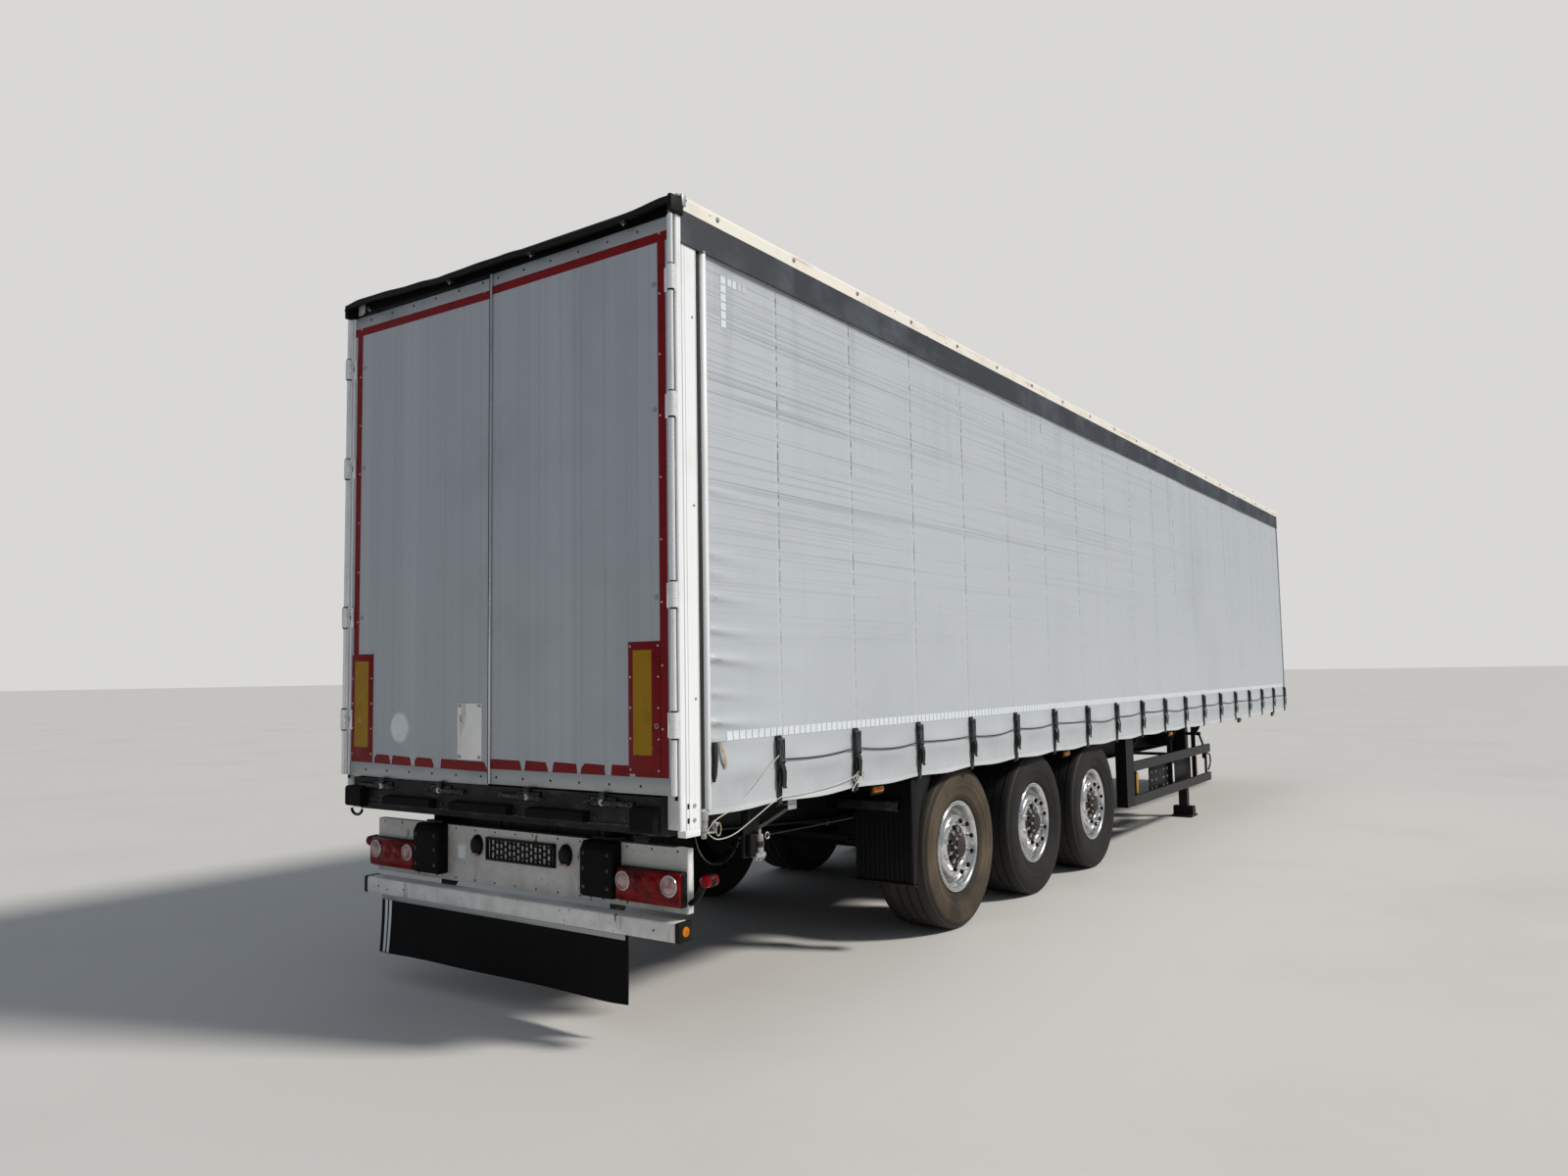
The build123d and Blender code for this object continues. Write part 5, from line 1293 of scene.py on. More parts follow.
class TRAILER_OT_rear(bpy.types.Operator):
    """Make the latch gear, lamp panel fittings, lamps, buffers, underrun beam and flap"""
    bl_idname = "trailer.rear"
    bl_label = "Rear end"

    def execute(self, context):
        self.latches()
        self.post_fittings()
        self.panel()
        self.lamps()
        self.bump_stops()
        self.underrun()
        self.flap()
        return {"FINISHED"}

    def latches(self):
        """Locking levers, catches and keepers along the sill."""
        shape = Shape("worn_buckle_steel", "zinc_plated_steel", "black_buffer_rubber", "black_chassis_paint")
        for index, x in enumerate(LATCHES):
            way = 1 if index % 2 else -1
            end = x + way * 0.19
            shape.block(1, (x - 0.085, x + 0.085), (-0.018, -0.010), (1.098, 1.142), 0, 0.003)
            shape.rod(*places(1, (x, -0.036, 1.118), (x, -0.01, 1.118)), 0.017, 16, 1, 0.003)
            shape.block(1, (x, end), (-0.036, -0.024), (1.106, 1.128), 0, 0.004)
            shape.rod(*places(1, (end, -0.036, 1.117), (end, -0.018, 1.117)), 0.015, 14, 0, 0.003)
            shape.block(1, (x - 0.02, x + 0.02), (-0.030, -0.004), (1.13, 1.164), 0, 0.003)
            shape.tube(places(1, (x - way * 0.05, -0.03, 1.128), (x - way * 0.09, -0.034, 1.122),
                              (x - way * 0.12, -0.03, 1.112), (x - way * 0.1, -0.024, 1.104)), 0.005, 6, 0)
        # Rear cross member between the chassis beams, with its lightening holes
        shape.block(1, (-0.76, 0.76), (0.250, 0.262), (0.80, 1.075), 3, 0.002)
        for place in places(1, *((x, 0.250, 0.93) for x in (-0.55, -0.18, 0.18, 0.55))):
            shape.lathe([(0, 0.034), (0, 0.045), (0.006, 0.043), (0.006, 0.034)], place, (0, -1, 0), 24, 3)
        # A rubber seal runs under both leaves, and a drip edge along the sill
        shape.block(1, (-1.165, 1.165), (-0.0115, 0.01), (1.150, 1.158), 2, 0.002)
        shape.block(1, (-1.17, 1.17), (-0.0165, -0.011), (1.014, 1.024), 0, 0.002)
        # A tying loop hangs under the left corner block
        loop = [(-1.10 + 0.05 * cos(a), ahead(-0.04), 0.985 + 0.035 * sin(a))
                for a in (pi + pi * k / 12 for k in range(13))]
        shape.tube(loop, 0.008, 8, 0)
        shape.piece("latch_gear", "chassis", "frame_black")
        row("sill_bolts", bolt(0.012, 0.007, "worn_buckle_steel"), (-1.14, ahead(-0.0122), 1.045),
            (0.19, 0, 0), 13, "chassis", "bare_steel")

    def post_fittings(self):
        """Holes and screws at the feet of the rear posts, and the pole bracket under them."""
        face = SIDE - 0.004
        screws = [(0.104, z, ((0, 0), (0, 0.010), (0.005, 0.009), (0.007, 0.0)), 12) for z in (1.115, 1.05)]
        screws += [(0.122, z, ((0, 0), (0, 0.007), (0.003, 0.006), (0.004, 0.0)), 10)
                   for z in (1.6, 2.5, 3.4)]
        for side_name, side in SIDES:
            shape = Shape("moulded_black_plastic", "zinc_plated_steel", "white_post_powder_coat")
            # Rounded rear corner and the ribs of the post's section
            shape.post(side, 1.2580, 0.0235, (1.012, 3.862), 0.0138, 20, 2, 0.002)
            for y in (0.050, 0.070, 0.146):
                shape.block(side, (face, face + 0.0025), (y - 0.002, y + 0.002), (1.012, 3.730), 2, 0.001)
            for z in (1.115, 1.05):
                shape.rod(*places(side, (face - 0.004, 0.062, z), (face + 0.0006, 0.062, z)), 0.013, 18)
            for y, z, section, sides in screws:
                shape.lathe(list(section), (side * face, ahead(y), z), (side, 0, 0), sides, 1)
            shape.block(side, (face - 0.05, face - 0.001), (0.045, 0.150), (0.974, 1.009), 2, 0.002)
            shape.piece(f"post_fittings_{side_name}", "chassis", "white_paint")

    def panel(self):
        """Plate holder with its open lattice, oval plate lamps and rivets on the lamp panel."""
        rear = 0.160
        shape = Shape("moulded_black_plastic", "clear_lamp_lens")
        x0, x1, z0, z1 = -0.218, 0.308, 0.742, 0.862

        def bar(a0, a1, b0, b1, proud=0.010):
            shape.block(1, (a0, a1), (rear - proud, rear + 0.001), (b0, b1), 0, 0.0015)

        bar(x0, x1, z0, z0 + 0.012, 0.016)
        bar(x0, x1, z1 - 0.012, z1, 0.016)
        bar(x0, x0 + 0.012, z0, z1, 0.016)
        bar(x1 - 0.012, x1, z0, z1, 0.016)
        # The lattice: upright slats, with rungs that step up and down between them
        columns = 16
        for index in range(1, columns):
            x = x0 + (x1 - x0) * index / columns
            bar(x - 0.004, x + 0.004, z0 + 0.01, z1 - 0.01)
            for rung in ((0.26, 0.52, 0.78), (0.38, 0.64), (0.22, 0.5, 0.8))[index % 3]:
                z = z0 + (z1 - z0) * rung
                bar(x, x + (x1 - x0) / columns, z - 0.0045, z + 0.0045)
        for x in (-0.296, 0.383):
            lid = [(0.0, 0.0), (0.0, 0.052), (0.010, 0.052), (0.026, 0.040), (0.034, 0.022), (0.034, 0.0)]
            lamp = Shape("moulded_black_plastic", "clear_lamp_lens")
            lamp.lathe(lid, (0, 0, 0), (0, -1, 0), 28)
            lamp.box(-0.03, 0.03, -0.03, -0.018, -0.046, -0.036, 1, 0.002)
            lamp.moved(Matrix.Translation((x, ahead(rear), 0.812)) @ Matrix.Diagonal((0.82, 1, 1.08, 1)))
            lamp.piece(f"plate_lamp_{'right' if x > 0 else 'left'}", "chassis", "black_rubber")
        shape.piece("plate_holder", "chassis", "black_rubber")
        for level, start, z, count in (("top", -1.12, 0.888, 15), ("low", -0.8, 0.622, 11)):
            row(f"panel_rivets_{level}", rivet(0.006, "worn_buckle_steel"), (start, ahead(rear), z),
                (0.16, 0, 0), count, "chassis", "bare_steel")
        label = Shape("white_reflective_tape")
        label.block(1, (-0.46, -0.40), (rear - 0.0008, rear + 0.0005), (0.73, 0.80))
        label.piece("panel_label", "chassis", "white_paint")

    def lamps(self):
        """Tail lamps with round clear lenses, and marker lamps on rubber stalks."""
        inner, outer = 0.776, 1.18
        rear, front = 0.100, 0.162
        low, high = 0.640, 0.798
        lens = [(rear + 0.02, low), (rear + 0.004, low + 0.006), (rear - 0.002, low + 0.03),
                (rear - 0.001, high - 0.035), (rear + 0.008, high - 0.006), (rear + 0.02, high)]
        for side_name, side in SIDES:
            shape = Shape("moulded_black_plastic", "red_lamp_lens", "clear_lamp_lens", "bright_anodised_trim",
                          "amber_lamp_lens")

            def turned(section, place, way, sides, finish):
                shape.lathe(section, places(side, place)[0], (0, way, 0), sides, finish)

            shape.block(side, (inner, outer), (rear + 0.016, front), (low - 0.003, high + 0.003), 0, 0.012, 3)
            shape.profile(side, lens, (inner + 0.004, outer - 0.004), 1, 0.004, 3)
            for x, radius in ((inner + 0.052, 0.040), (outer - 0.062, 0.044)):
                place = (x, rear - 0.001, low + 0.098)
                turned([(0.0, radius + 0.006), (0.005, radius + 0.005), (0.006, radius), (0.0, radius)],
                       place, -1, 32, 3)
                turned([(0.001, 0.0), (0.001, radius), (0.007, radius * 0.8), (0.010, radius * 0.4),
                        (0.011, 0)], place, -1, 32, 2)
            # Round red domes between the clear ones, and the ridge that divides the lens
            for x in (inner + 0.142, inner + 0.235):
                turned([(0.0, 0.0), (0.0, 0.037), (0.005, 0.033), (0.008, 0.018), (0.009, 0.0)],
                       (x, rear - 0.001, low + 0.092), -1, 28, 1)
            shape.block(side, (inner + 0.01, outer - 0.01), (rear - 0.004, rear + 0.01),
                        (low + 0.030, low + 0.034), 1)
            shape.pipe(side, ((1.176, 0.176, 0.655), (1.198, 0.180, 0.662), (1.236, 0.178, 0.700),
                              (1.268, 0.172, 0.748)), 6, 0.015, 12, 0)
            turned([(0, 0), (0, 0.024), (0.012, 0.030), (0.03, 0.030), (0.03, 0)], (1.278, 0.185, 0.763), 1,
                   20, 0)
            for way, y in ((-1, 0.185), (1, 0.213)):
                turned([(0, 0.0), (0, 0.029), (0.024, 0.027), (0.032, 0.018), (0.034, 0.0)],
                       (1.278, y, 0.763), way, 22, 1)
            shape.piece(f"tail_lamp_{side_name}", "chassis", "red_lens", "tail_lamps")
            flange = Shape("scuffed_white_enamel")
            flange.block(side, (1.1782, 1.1815), (0.164, 0.2005), (0.607, 0.903), bevel=0.001)
            flange.piece(f"panel_flange_{side_name}", "chassis", "white_paint")

    def bump_stops(self):
        """Rubber blocks on the lamp panel, each with six bolts."""
        outline = ((0.161, 0.64), (0.100, 0.64), (0.088, 0.655), (0.088, 0.866), (0.112, 0.908),
                   (0.161, 0.908))
        for side_name, side in SIDES:
            shape = Shape("black_buffer_rubber", "worn_buckle_steel")
            shape.profile(side, outline, (0.545, 0.765), 0, 0.009, 3)
            for place in places(side, *((x, 0.089, z) for z in (0.69, 0.775, 0.85) for x in (0.575, 0.735))):
                shape.lathe([(0, 0), (0, 0.011), (0.004, 0.010), (0.004, 0)], place, (0, -1, 0), 10, 1)
            shape.piece(f"bump_stop_{side_name}", "chassis", "black_rubber", "bump_stops")

    def underrun(self):
        """Box beam with black end caps, amber reflectors and its two brackets."""
        shape = Shape("scuffed_white_enamel", "moulded_black_plastic", "amber_lamp_lens",
                      "black_chassis_paint", "worn_buckle_steel")
        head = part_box("underrun_beam")[1].z
        rear, front, bottom, top = 0.078, 0.170, 0.490, 0.580
        bracket = ((front, bottom + 0.01), (front, top - 0.01), (0.200, top - 0.01), (0.200, head),
                   (0.48, head - 0.034), (0.42, 0.70), (0.26, bottom + 0.01))
        shape.block(1, (-1.172, 1.172), (rear, front), (bottom, top), 0, 0.010, 3)
        for side in (-1, 1):
            shape.block(side, (1.168, 1.196), (rear - 0.002, front + 0.002), (bottom - 0.002, top + 0.002),
                        1, 0.008)
            shape.lathe([(0, 0), (0, 0.024), (0.004, 0.022), (0.005, 0)],
                        *places(side, (1.1955, 0.124, 0.537)), (side, 0, 0), 24, 2)
            shape.profile(side, bracket, (0.645, 0.655), 3, 0.001, 1)
            for y, z in ((0.23, 0.53), (0.23, 0.56), (0.30, 0.86), (0.40, 0.85)):
                shape.lathe([(0, 0), (0, 0.014), (0.008, 0.013), (0.008, 0)], *places(side, (0.655, y, z)),
                            (side, 0, 0), 6, 4)
        for x in (-1.06, -0.83, 1.04):
            shape.rod(*places(1, (x, rear + 0.002, 0.535), (x, rear - 0.0006, 0.535)), 0.006, 12, 4)
        shape.piece("underrun_bar", "chassis", "white_paint", "underrun_beam")

    def flap(self):
        """A wide rubber flap that hangs in a slight curve, with two painted stripes near its left edge."""
        low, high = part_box("rear_flap")
        shape = Shape("black_buffer_rubber", "white_reflective_tape", "milled_aluminium")

        def surface(x, share, lift):
            wave = 0.016 * sin(x * 2.6 + 0.5) + 0.008 * sin(x * 6.1)
            curl = share ** 1.6 * (wave - 0.012)
            corner = max(0.0, abs(x - (low.x + high.x) / 2) - 0.86) / 0.1
            return ahead(0.107) + curl - lift + 0.012 * share * corner

        def sheet(x0, x1, top, bottom, lift, finish, thick, slant=0.0):
            columns = max(3, int((x1 - x0) / 0.03))
            spots = []
            for j in range(15):
                share = top + (bottom - top) * j / 14
                line = []
                for i in range(columns):
                    x = x0 + (x1 - x0) * i / (columns - 1) + slant * share
                    z = high.z - share * (high.z - low.z) - (0.008 * share * sin(x * 3))
                    line.append((x, surface(x, share, lift), z))
                spots.append(line)
            shape.patch(spots[::-1], thick, finish)

        sheet(low.x, high.x, 0.0, 1.0, 0.0, 0, 0.006)
        for x in (low.x + 0.030, low.x + 0.068):
            sheet(x, x + 0.024, 0.01, 0.985, 0.0008, 1, 0.0006, 0.006)
        shape.block(1, (low.x + 0.01, high.x - 0.01), (0.098, 0.103), (high.z - 0.03, high.z - 0.002), 2,
                    0.001)
        shape.piece("mud_flap", "chassis", "black_rubber", "rear_flap")


# Wheels

RIM_WALL = 0.011
NUT_FACE = 0.1385


def tyre_section(look):
    """Outer bead, ringed side wall, shoulder and grooved tread; the inner half mirrors it."""
    wall = [(0.1497, 0.2863), (0.1497, 0.304), (0.158, 0.309), (0.166, 0.322), (0.172, 0.338),
            (0.1755, 0.346), (0.1735, 0.350), (0.180, 0.372), (0.187, 0.396), (0.1895, 0.400),
            (0.1885, 0.404), (0.1925, 0.425), (0.193, 0.448), (0.191, 0.468), (0.1885, 0.484),
            (0.186, 0.487), (0.1845, 0.497), (0.178, 0.513), (0.170, 0.5235), (0.160, 0.5305),
            (0.148, 0.5345)]
    depth, half = look.groove_depth, look.groove_width / 2
    tread = []
    for middle in (0.104, 0.036):
        tread += [(middle + half + 0.001, TYRE_R - 0.0002), (middle + half - 0.001, TYRE_R - depth),
                  (middle - half + 0.001, TYRE_R - depth), (middle - half - 0.001, TYRE_R - 0.0001)]
    outer = wall + tread
    return outer + [(-along, radius) for along, radius in outer[::-1]]


def bowl_section():
    """Outer lip, bowl and raised nut ring of the rim's face, from outside in."""
    return [(0.1575, 0.2895), (0.1535, 0.2835), (0.146, 0.2785), (0.126, 0.273), (0.106, 0.265),
            (0.094, 0.254), (0.088, 0.240), (0.087, 0.226), (0.091, 0.213), (0.101, 0.203), (0.120, 0.197),
            (0.1345, 0.194), (NUT_FACE, 0.189), (NUT_FACE, 0.145), (0.134, 0.1405), (0.118, 0.1395)]


def wheel_parts(look):
    """The tyre, rim barrel, rim face and hub of one wheel at the origin, with its outer side towards +X."""
    tyre = Shape("dusty_tyre_rubber").lathe(tyre_section(look), (0, 0, 0), (1, 0, 0), 112)
    rim = Shape("polished_wheel_alloy")
    barrel = [(0.1582, 0.2905), (0.159, 0.2985), (0.1535, 0.300), (0.150, 0.2985), (0.150, 0.2862),
              (-0.150, 0.2862), (-0.150, 0.2985), (-0.1535, 0.300), (-0.159, 0.2985), (-0.1575, 0.288),
              (-0.148, 0.277), (-0.10, 0.268), (0.06, 0.268), (0.118, 0.272), (0.146, 0.2795)]
    rim.lathe(barrel, (0, 0, 0), (1, 0, 0), 96)
    face = Shape("polished_wheel_alloy")
    face.lathe(bowl_section(), (0, 0, 0), (1, 0, 0), 120, closed=False)
    hub = Shape("rusty_cast_iron", "black_chassis_paint")
    hub.lathe([(0.100, 0.0), (0.100, 0.139), (0.142, 0.139), (0.1475, 0.133), (0.149, 0.100), (0.156, 0.092),
               (0.172, 0.088), (0.176, 0.080), (0.176, 0.068), (0.186, 0.066), (0.1895, 0.058), (0.190, 0.0)],
              (0, 0, 0), (1, 0, 0), 48)
    return tyre, rim, face, hub


class TRAILER_OT_wheels(bpy.types.Operator):
    """Make the six tyres, rims, hubs and wheel nuts"""
    bl_idname = "trailer.wheels"
    bl_label = "Wheels"

    def execute(self, context):
        look = context.scene.trailer_wheels
        built = {}
        for kind, shape in zip(("tyre", "rim", "rim_face", "hub"), wheel_parts(look)):
            built[kind] = made = shape.object(kind + "_pattern", 28 if kind == "tyre" else 40)
            if kind == "rim_face":
                wall = made.modifiers.new("wall", "SOLIDIFY")
                wall.thickness = RIM_WALL
                wall.offset = -1
                bpy.context.view_layer.update()
                bake_modifiers(made)
        for number in (1, 2, 3):
            for side_name, side in SIDES:
                self.one_wheel(look, built, number, f"{number}_{side_name}", side)
        for made in built.values():
            bpy.data.objects.remove(made)
        return {"FINISHED"}

    def one_wheel(self, look, built, number, name, side):
        body = f"wheel_{name}"
        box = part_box(f"tyre_{name}")
        centre = (box[0] + box[1]) / 2
        turn = Matrix.Identity(4) if side > 0 else Matrix.Rotation(pi, 4, "Z")
        place = Matrix.Translation(centre) @ turn @ Matrix.Rotation(number * 0.31, 4, "X")
        for kind, slot, replaced in (("tyre", "tyre", [f"tyre_{name}"]),
                                     ("rim", "polished_rim", [f"rim_{name}"]),
                                     ("rim_face", "polished_rim", []), ("hub", "chassis_black", [])):
            made = linked(f"{kind}_of_{name}", built[kind].data.copy())
            made.data.transform(place)
            if kind == "tyre" and number > 1:
                made.data.materials[0] = material("black_tyre_rubber")
            settle(made, body, slot, *replaced)
        out = Vector((side, 0, 0))
        spin = ((0, 0, 0), out)
        nut = Shape("polished_nut_steel")
        nut.lathe([(0, 0), (0, 0.0225), (0.004, 0.0225), (0.0055, 0.018), (0.0055, 0)], *spin, 20)
        nut.lathe([(0.004, 0), (0.004, 0.0185), (0.036, 0.0185), (0.038, 0.0170), (0.039, 0.0)], *spin, 6,
                  smooth=False)
        cap = Shape("black_buffer_rubber")
        cap.lathe([(0.036, 0), (0.036, 0.0160), (0.050, 0.0155), (0.054, 0.012), (0.055, 0)], *spin, 14)
        rib = Shape("zinc_plated_steel").box(*limits(side, 0, 0.020), -0.008, 0.008, -0.014, 0.020,
                                             bevel=0.003)
        lug = bolt(0.013, 0.010, "zinc_plated_steel", out)
        for kind, shape, slot, face, radius, count, swing in (
                ("nut_caps", cap, "chassis_black", NUT_FACE, look.nut_ring, look.nut_count, 0.5),
                ("nuts", nut, "polished_rim", NUT_FACE, look.nut_ring, look.nut_count, 0.5),
                ("hub_ribs", rib, "chassis_black", 0.146, 0.112, 10, 0),
                ("hub_bolts", lug, "chassis_black", 0.1755, 0.0755, 8, 0)):
            repeated(f"{kind}_of_{name}", "pieces_in_a_ring", shape, body, slot, (swing, 0, 0), number,
                     Centre=centre + out * face, Radius=radius, Count=count)


# Running gear and sides


class TRAILER_OT_running_gear(bpy.types.Operator):
    """Make the air spring bellows, brake chambers and pipes"""
    bl_idname = "trailer.running_gear"
    bl_label = "Running gear"

    def execute(self, context):
        low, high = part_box("air_springs")
        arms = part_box("suspension_arms")
        bellows = Shape("black_buffer_rubber", "zinc_plated_steel")
        for number in (1, 2, 3):
            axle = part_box(f"tyre_{number}_right")
            y = (axle[0].y + axle[1].y) / 2
            for side in (-1, 1):
                x = side * (high.x - 0.145)
                base = (x, y - 0.400, 0)
                top = high.z
                bellows.lathe([(low.z, 0.0), (low.z, 0.078), (low.z + 0.045, 0.086), (low.z + 0.05, 0.125),
                               (low.z + 0.06, 0.140), (low.z + 0.085, 0.1445), (top - 0.06, 0.1445),
                               (top - 0.035, 0.138), (top - 0.014, 0.116), (top - 0.008, 0.0)], base,
                              (0, 0, 1), 40)
                bellows.lathe([(top - 0.010, 0.0), (top - 0.010, 0.112), (top, 0.112), (top, 0.0)], base,
                              (0, 0, 1), 32, 1)
                chamber = Vector((side * (arms[1].x - 0.30), y + 0.20, TYRE_R + 0.10))
                bellows.lathe([(0, 0), (0, 0.05), (0.02, 0.082), (0.06, 0.086), (0.064, 0.092),
                               (0.072, 0.092), (0.076, 0.086), (0.16, 0.084), (0.185, 0.06), (0.19, 0)],
                              chamber, (0, 1, 0.1), 28, 1)
                bellows.rod(chamber, chamber + Vector((0, -0.20, -0.03)), 0.011, 10, 1)
        bellows.piece("bellows_and_chambers", "chassis", "black_rubber", "air_springs")
        return {"FINISHED"}


class TRAILER_OT_sides(bpy.types.Operator):
    """Make the side marker lamps, wing edges, guard fittings and the raising valve"""
    bl_idname = "trailer.sides"
    bl_label = "Sides"

    def execute(self, context):
        for side_name, side in SIDES:
            self.markers(side_name, side)
            self.wing(side_name, side)
            self.guard(side_name, side)
        self.valve()
        return {"FINISHED"}

    def valve(self):
        """Raising valve with its ports, on a black bracket, and the rusty lever that works it."""
        shape = Shape("black_chassis_paint", "zinc_plated_steel", "rusty_cast_iron", "moulded_black_plastic")
        x = 1.196
        for block in (((1.158, 1.172), (0.600, 0.735), (0.795, 0.985), 0, 0.004),
                      ((1.155, 1.205), (0.600, 0.612), (0.960, 1.079), 0, 0.003),
                      ((1.168, 1.200), (0.622, 0.735), (0.800, 0.912), 3, 0.006),
                      ((1.172, 1.212), (0.660, 0.738), (0.790, 0.815), 1, 0.006)):
            shape.block(1, *block)
        ports = [(y, (z - 0.012, z + 0.010), 0.0105, 10, 1, 0.003)
                 for y, z in ((0.668, 0.790), (0.700, 0.783), (0.728, 0.792))]
        for y, *post in [(0.700, (0.812, 0.905), 0.021, 18, 1, 0.004),
                         (0.700, (0.842, 0.872), 0.0245, 18, 2, 0.003),
                         (0.700, (0.902, 0.942), 0.009, 12, 1, 0.002)] + ports:
            shape.post(1, x, y, *post)
        shape.tube(ring_of((1.208, ahead(0.752), 0.893), 0.016, 0.016, 14), 0.0035, 6, 1)
        lever = ((x, 0.690, 0.936), (1.200, 0.705, 0.942), (1.212, 0.80, 0.972), (1.226, 0.905, 1.010))
        shape.pipe(1, lever, 5, 0.0095, 10, 2)
        # Bracket under the side rail that holds the lever's end
        shape.block(1, (1.205, 1.238), (0.898, 0.978), (1.030, 1.036), 1, 0.002)
        shape.block(1, (1.232, 1.238), (0.898, 0.975), (1.005, 1.079), 1, 0.002)
        # Air pipes from the valve into the chassis, and one along the trailer
        for y, z in ((0.640, 0.82), (0.700, 0.84), (0.725, 0.87)):
            shape.pipe(1, ((1.170, y, z), (1.08, y + 0.02, z + 0.01), (0.90, y + 0.08, 0.87),
                           (0.72, y + 0.14, 0.90)), 6, 0.006, 8, 3)
        shape.pipe(1, ((x, 0.758, 0.893), (1.192, 0.90, 0.890), (1.188, 1.20, 0.884), (1.186, 1.62, 0.880)),
                   6, 0.0042, 8, 3)
        shape.piece("raising_valve", "chassis", "frame_black", "valve_unit")

    def markers(self, side_name, side):
        """Amber side lamps on small brackets under the side rail."""
        shape = Shape("amber_lamp_lens", "moulded_black_plastic")
        low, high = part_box("side_rails")
        x = high.x - 0.035
        for y in (1.83, 4.87, 7.83, 10.9, 12.9):
            for out, half, z, finish in (((-0.012, 0), 0.07, (-0.085, 0.004), (1, 0.004)),
                                         ((-0.001, 0.016), 0.056, (-0.072, -0.036), (0, 0.006, 3)),
                                         ((0.012, 0.019), 0.052, (-0.056, -0.053), (0,))):
                shape.block(side, (x + out[0], x + out[1]), (y - half, y + half),
                            (low.z + z[0], low.z + z[1]), *finish)
        shape.piece(f"side_markers_{side_name}", "chassis", "red_lens")

    def wing(self, side_name, side):
        """Turned outer edge and upright ribs of the wing behind the last wheel, and its bracket."""
        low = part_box("mud_wings")[0]
        shape = Shape("moulded_black_plastic", "dusty_sill_paint")
        outer, inner = 1.2400, 0.835
        arm, rear, top = low.y - DOORS, low.y + 0.040, 1.056
        edge = [(rear - 0.004, low.z + 0.004), (rear + 0.056, low.z + 0.002), (rear + 0.070, 0.62),
                (rear + 0.125, 0.86), (rear + 0.235, top - 0.03), (rear + 0.246, top), (rear + 0.02, top),
                (rear - 0.006, top - 0.02)]
        shape.prism(edge, "X", *limits(side, outer - 0.018, outer + 0.005), 0, 0.003)
        rim = [(side * (outer + 0.003), y, z) for y, z in edge[:6]]
        shape.tube(smooth_line(rim, 5), 0.006, 8)
        for index in range(11):
            x = inner + 0.025 + index * (outer - inner - 0.06) / 10
            shape.block(side, (x - 0.006, x + 0.006), (arm + 0.033, arm + 0.041), (low.z + 0.02, 1.03), 0,
                        0.003)
        shape.rod(*places(side, (inner, arm + 0.036, low.z + 0.004),
                          (outer - 0.004, arm + 0.036, low.z + 0.004)), 0.009, 10)
        # C section over the bracket, with bolts, in the lighter dusty sill paint: partly road dust, partly a
        # painted highlight
        for z, y in (((0.846, 0.914), -0.004), ((0.906, 0.914), 0.038), ((0.846, 0.854), 0.038)):
            shape.block(side, (0.735, 1.165), (arm - 0.012, arm + y), z, 1, 0.002)
        for place in places(side, *((x, arm - 0.012, 0.88) for x in (0.80, 1.02, 1.12))):
            shape.lathe([(0, 0), (0, 0.012), (0.006, 0.011), (0.007, 0)], place, (0, -1, 0), 8, 1)
        shape.piece(f"wing_edge_{side_name}", "chassis", "black_rubber")

    def guard(self, side_name, side):
        """Bolts and edge strips of the side guard's uprights."""
        shape = Shape("zinc_plated_steel", "yellow_reflective_board", "moulded_black_plastic",
                      "white_post_powder_coat")
        for y, wide, finish in ((6.80, 0.065, 1), (8.03, 0.045, 3), (8.93, 0.055, 1)):
            shape.block(side, (1.178, 1.184), (y, y + wide), (0.505, 0.700), finish, 0.001)
            shape.block(side, (1.150, 1.178), (y, y + 0.040), (0.42, 0.74), 2, 0.003)
        shape.block(side, (1.166, 1.186), (9.365, 9.405), (0.42, 0.74), 2, 0.003)
        loop = ((1.19, 9.40, 0.71), (1.20, 9.47, 0.69), (1.20, 9.49, 0.60), (1.19, 9.43, 0.52))
        shape.pipe(side, loop, 5, 0.009, 8, 2)
        # Back plates behind the rails, carried by the uprights, with their bolts
        shape.block(side, (1.150, 1.160), (7.29, 7.96), (0.44, 0.72), 2, 0.004)
        shape.block(side, (1.120, 1.130), (8.16, 8.92), (0.46, 0.72), 2, 0.004)
        for place in places(side, *((1.160, y, z) for y in (7.36, 7.50, 7.76, 7.89)
                                    for z in (0.50, 0.58, 0.66))):
            shape.lathe([(0, 0), (0, 0.012), (0.005, 0.011), (0.006, 0)], place, (side, 0, 0), 8, 0)
        shape.piece(f"guard_fittings_{side_name}", "chassis", "guard_grey")


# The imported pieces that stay, by their finish

KEPT_NODES = {
    "black_chassis_paint": ("chassis_beams", "cross_members", "coupler_plate", "rear_header",
                            "landing_legs", "leg_feet", "axles", "suspension_arms"),
    "zinc_plated_steel": ("kingpin",),
    "graphite_powder_coat": ("side_rails", "side_guards"),
    "phenolic_deck_ply": ("floor",),
    "milled_aluminium": ("front_wall", "front_posts", "side_posts", "roof_bows"),
    "white_post_powder_coat": ("rear_posts",),
    "cream_rail_paint": ("roof_rails",),
    "dusty_sill_paint": ("rear_sill",),
    "black_buffer_rubber": ("dock_buffers",),
    "rusty_panel_enamel": ("lamp_panel",),
    "moulded_black_plastic": ("mud_wings",),
    "black_tank_enamel": ("air_tanks",),
    "anodised_door_planks": ("door_left", "door_right"),
}


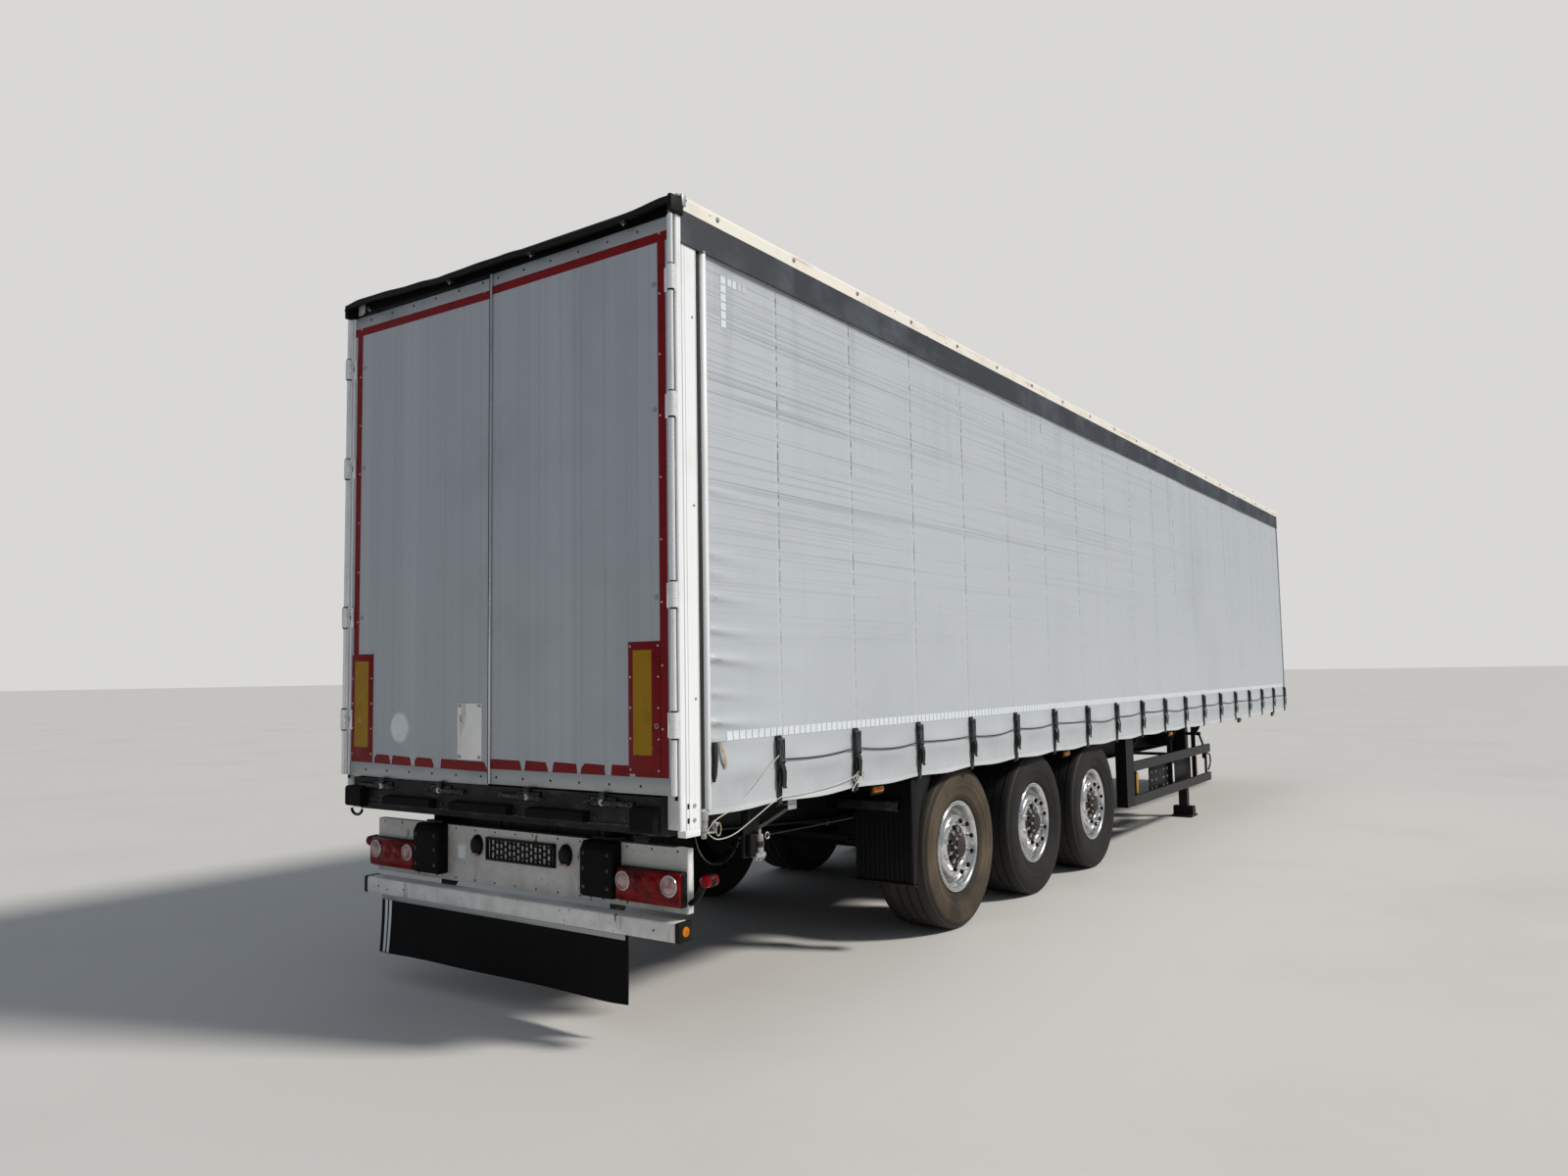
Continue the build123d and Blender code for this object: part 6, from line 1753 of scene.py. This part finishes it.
class TRAILER_OT_finishes(bpy.types.Operator):
    """Make every finish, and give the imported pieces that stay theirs"""
    bl_idname = "trailer.finishes"
    bl_label = "Finishes"

    def execute(self, context):
        scene = context.scene
        make_finishes(scene.trailer_body, scene.trailer_wheels, scene.trailer_stage)
        make_repeat_trees()
        for finish, names in KEPT_NODES.items():
            for name in names:
                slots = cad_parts[name].data.materials
                slots.clear()
                slots.append(material(finish))
        return {"FINISHED"}


class TRAILER_OT_stage(bpy.types.Operator):
    """Set the studio floor, its soft light and the camera"""
    bl_idname = "trailer.stage"
    bl_label = "Stage"

    def execute(self, context):
        look = context.scene.trailer_stage
        self.floor()
        self.light(look)
        self.camera(look)
        return {"FINISHED"}

    def floor(self):
        """A wide pale floor whose far edge melts into the surroundings."""
        shape = Shape("studio_floor")
        shape.lathe([(0.0, 0.0), (0.0, 30.0), (0.0, 400.0)], (0, 0, 0), (0, 0, 1), 64, closed=False)
        made = shape.object("studio_floor")
        if made.data.polygons[0].normal.z < 0:
            made.data.flip_normals()

    def light(self, look):
        scene = bpy.context.scene
        scene.world = world = bpy.data.worlds.new("studio_surroundings")
        world.use_nodes = True
        tree = world.node_tree
        fill = tree.nodes["Background"]
        fill.inputs["Color"].default_value = linear("#DCE6F2")
        fill.inputs["Strength"].default_value = look.fill_strength
        # The backdrop is seen as pale as the floor, while the light on the trailer stays as the fill gives it
        backdrop = node(tree, "ShaderNodeBackground", {"Color": linear("#D9D8D6")})[0]
        seen = node(tree, "ShaderNodeLightPath")["Is Camera Ray"]
        choose = node(tree, "ShaderNodeMixShader", {"Fac": seen, 1: fill.outputs[0], 2: backdrop})[0]
        tree.links.new(choose, tree.nodes["World Output"].inputs["Surface"])
        scene.view_settings.view_transform = "Standard"
        key = bpy.data.lights.new("key_light", "SUN")
        key.energy = look.key_strength
        key.angle = radians(9)
        key.color = linear("#FFFAF3")[:3]
        made = linked("key_light", key)
        # The light comes over the right side from ahead, as on the photographed trailer
        toward = Vector((-0.80, -0.36, -0.78))
        made.rotation_mode = "QUATERNION"
        made.rotation_quaternion = toward.to_track_quat("-Z", "Y")

    def camera(self, look):
        heading, tilt, roll = look.camera_turn
        forward = Vector((-sin(heading) * cos(tilt), cos(heading) * cos(tilt), sin(tilt)))
        right = Vector((cos(heading), sin(heading), 0))
        up = right.cross(forward)
        rolled_right = right * cos(roll) + up * sin(roll)
        rolled_up = up * cos(roll) - right * sin(roll)
        lens = bpy.data.cameras.new("camera")
        lens.lens = look.lens
        lens.sensor_width = 36
        lens.clip_end = 1000
        made = linked("camera", lens)
        turn = Matrix((rolled_right, rolled_up, -forward)).transposed().to_4x4()
        made.matrix_world = Matrix.Translation(Vector(look.camera_place)) @ turn
        bpy.context.scene.camera = made


class TRAILER_PT_panel(bpy.types.Panel):
    """Steps of the trailer and the sizes they use"""
    bl_idname = "TRAILER_PT_panel"
    bl_label = "Semi trailer"
    bl_space_type = "VIEW_3D"
    bl_region_type = "UI"
    bl_category = "Trailer"

    def draw(self, context):
        for step in STEPS:
            self.layout.operator(step.bl_idname)
        for look in LOOKS:
            group = getattr(context.scene, look)
            self.layout.label(text=look.replace("_", " "))
            for prop in group.bl_rna.properties:
                if prop.identifier not in ("name", "rna_type"):
                    self.layout.prop(group, prop.identifier)


LOOKS = {"trailer_body": TrailerBodyLook, "trailer_wheels": TrailerWheelLook,
         "trailer_stage": TrailerStageLook}
STEPS = (TRAILER_OT_finishes, TRAILER_OT_stage, TRAILER_OT_curtains, TRAILER_OT_straps, TRAILER_OT_doors,
         TRAILER_OT_roof, TRAILER_OT_rear, TRAILER_OT_wheels, TRAILER_OT_running_gear, TRAILER_OT_sides)


def register():
    for look, group in LOOKS.items():
        bpy.utils.register_class(group)
        setattr(bpy.types.Scene, look, bpy.props.PointerProperty(type=group))
    for step in STEPS + (TRAILER_PT_panel,):
        bpy.utils.register_class(step)


def unregister():
    for step in (TRAILER_PT_panel,) + STEPS[::-1]:
        bpy.utils.unregister_class(step)
    for look, group in LOOKS.items():
        delattr(bpy.types.Scene, look)
        bpy.utils.unregister_class(group)


def main():
    register()
    bpy.ops.trailer.finishes()
    bpy.ops.trailer.stage()
    bpy.ops.trailer.curtains()
    bpy.ops.trailer.straps()
    bpy.ops.trailer.doors()
    bpy.ops.trailer.roof()
    bpy.ops.trailer.rear()
    bpy.ops.trailer.wheels()
    bpy.ops.trailer.running_gear()
    bpy.ops.trailer.sides()


if __name__ == "__main__":
    main()
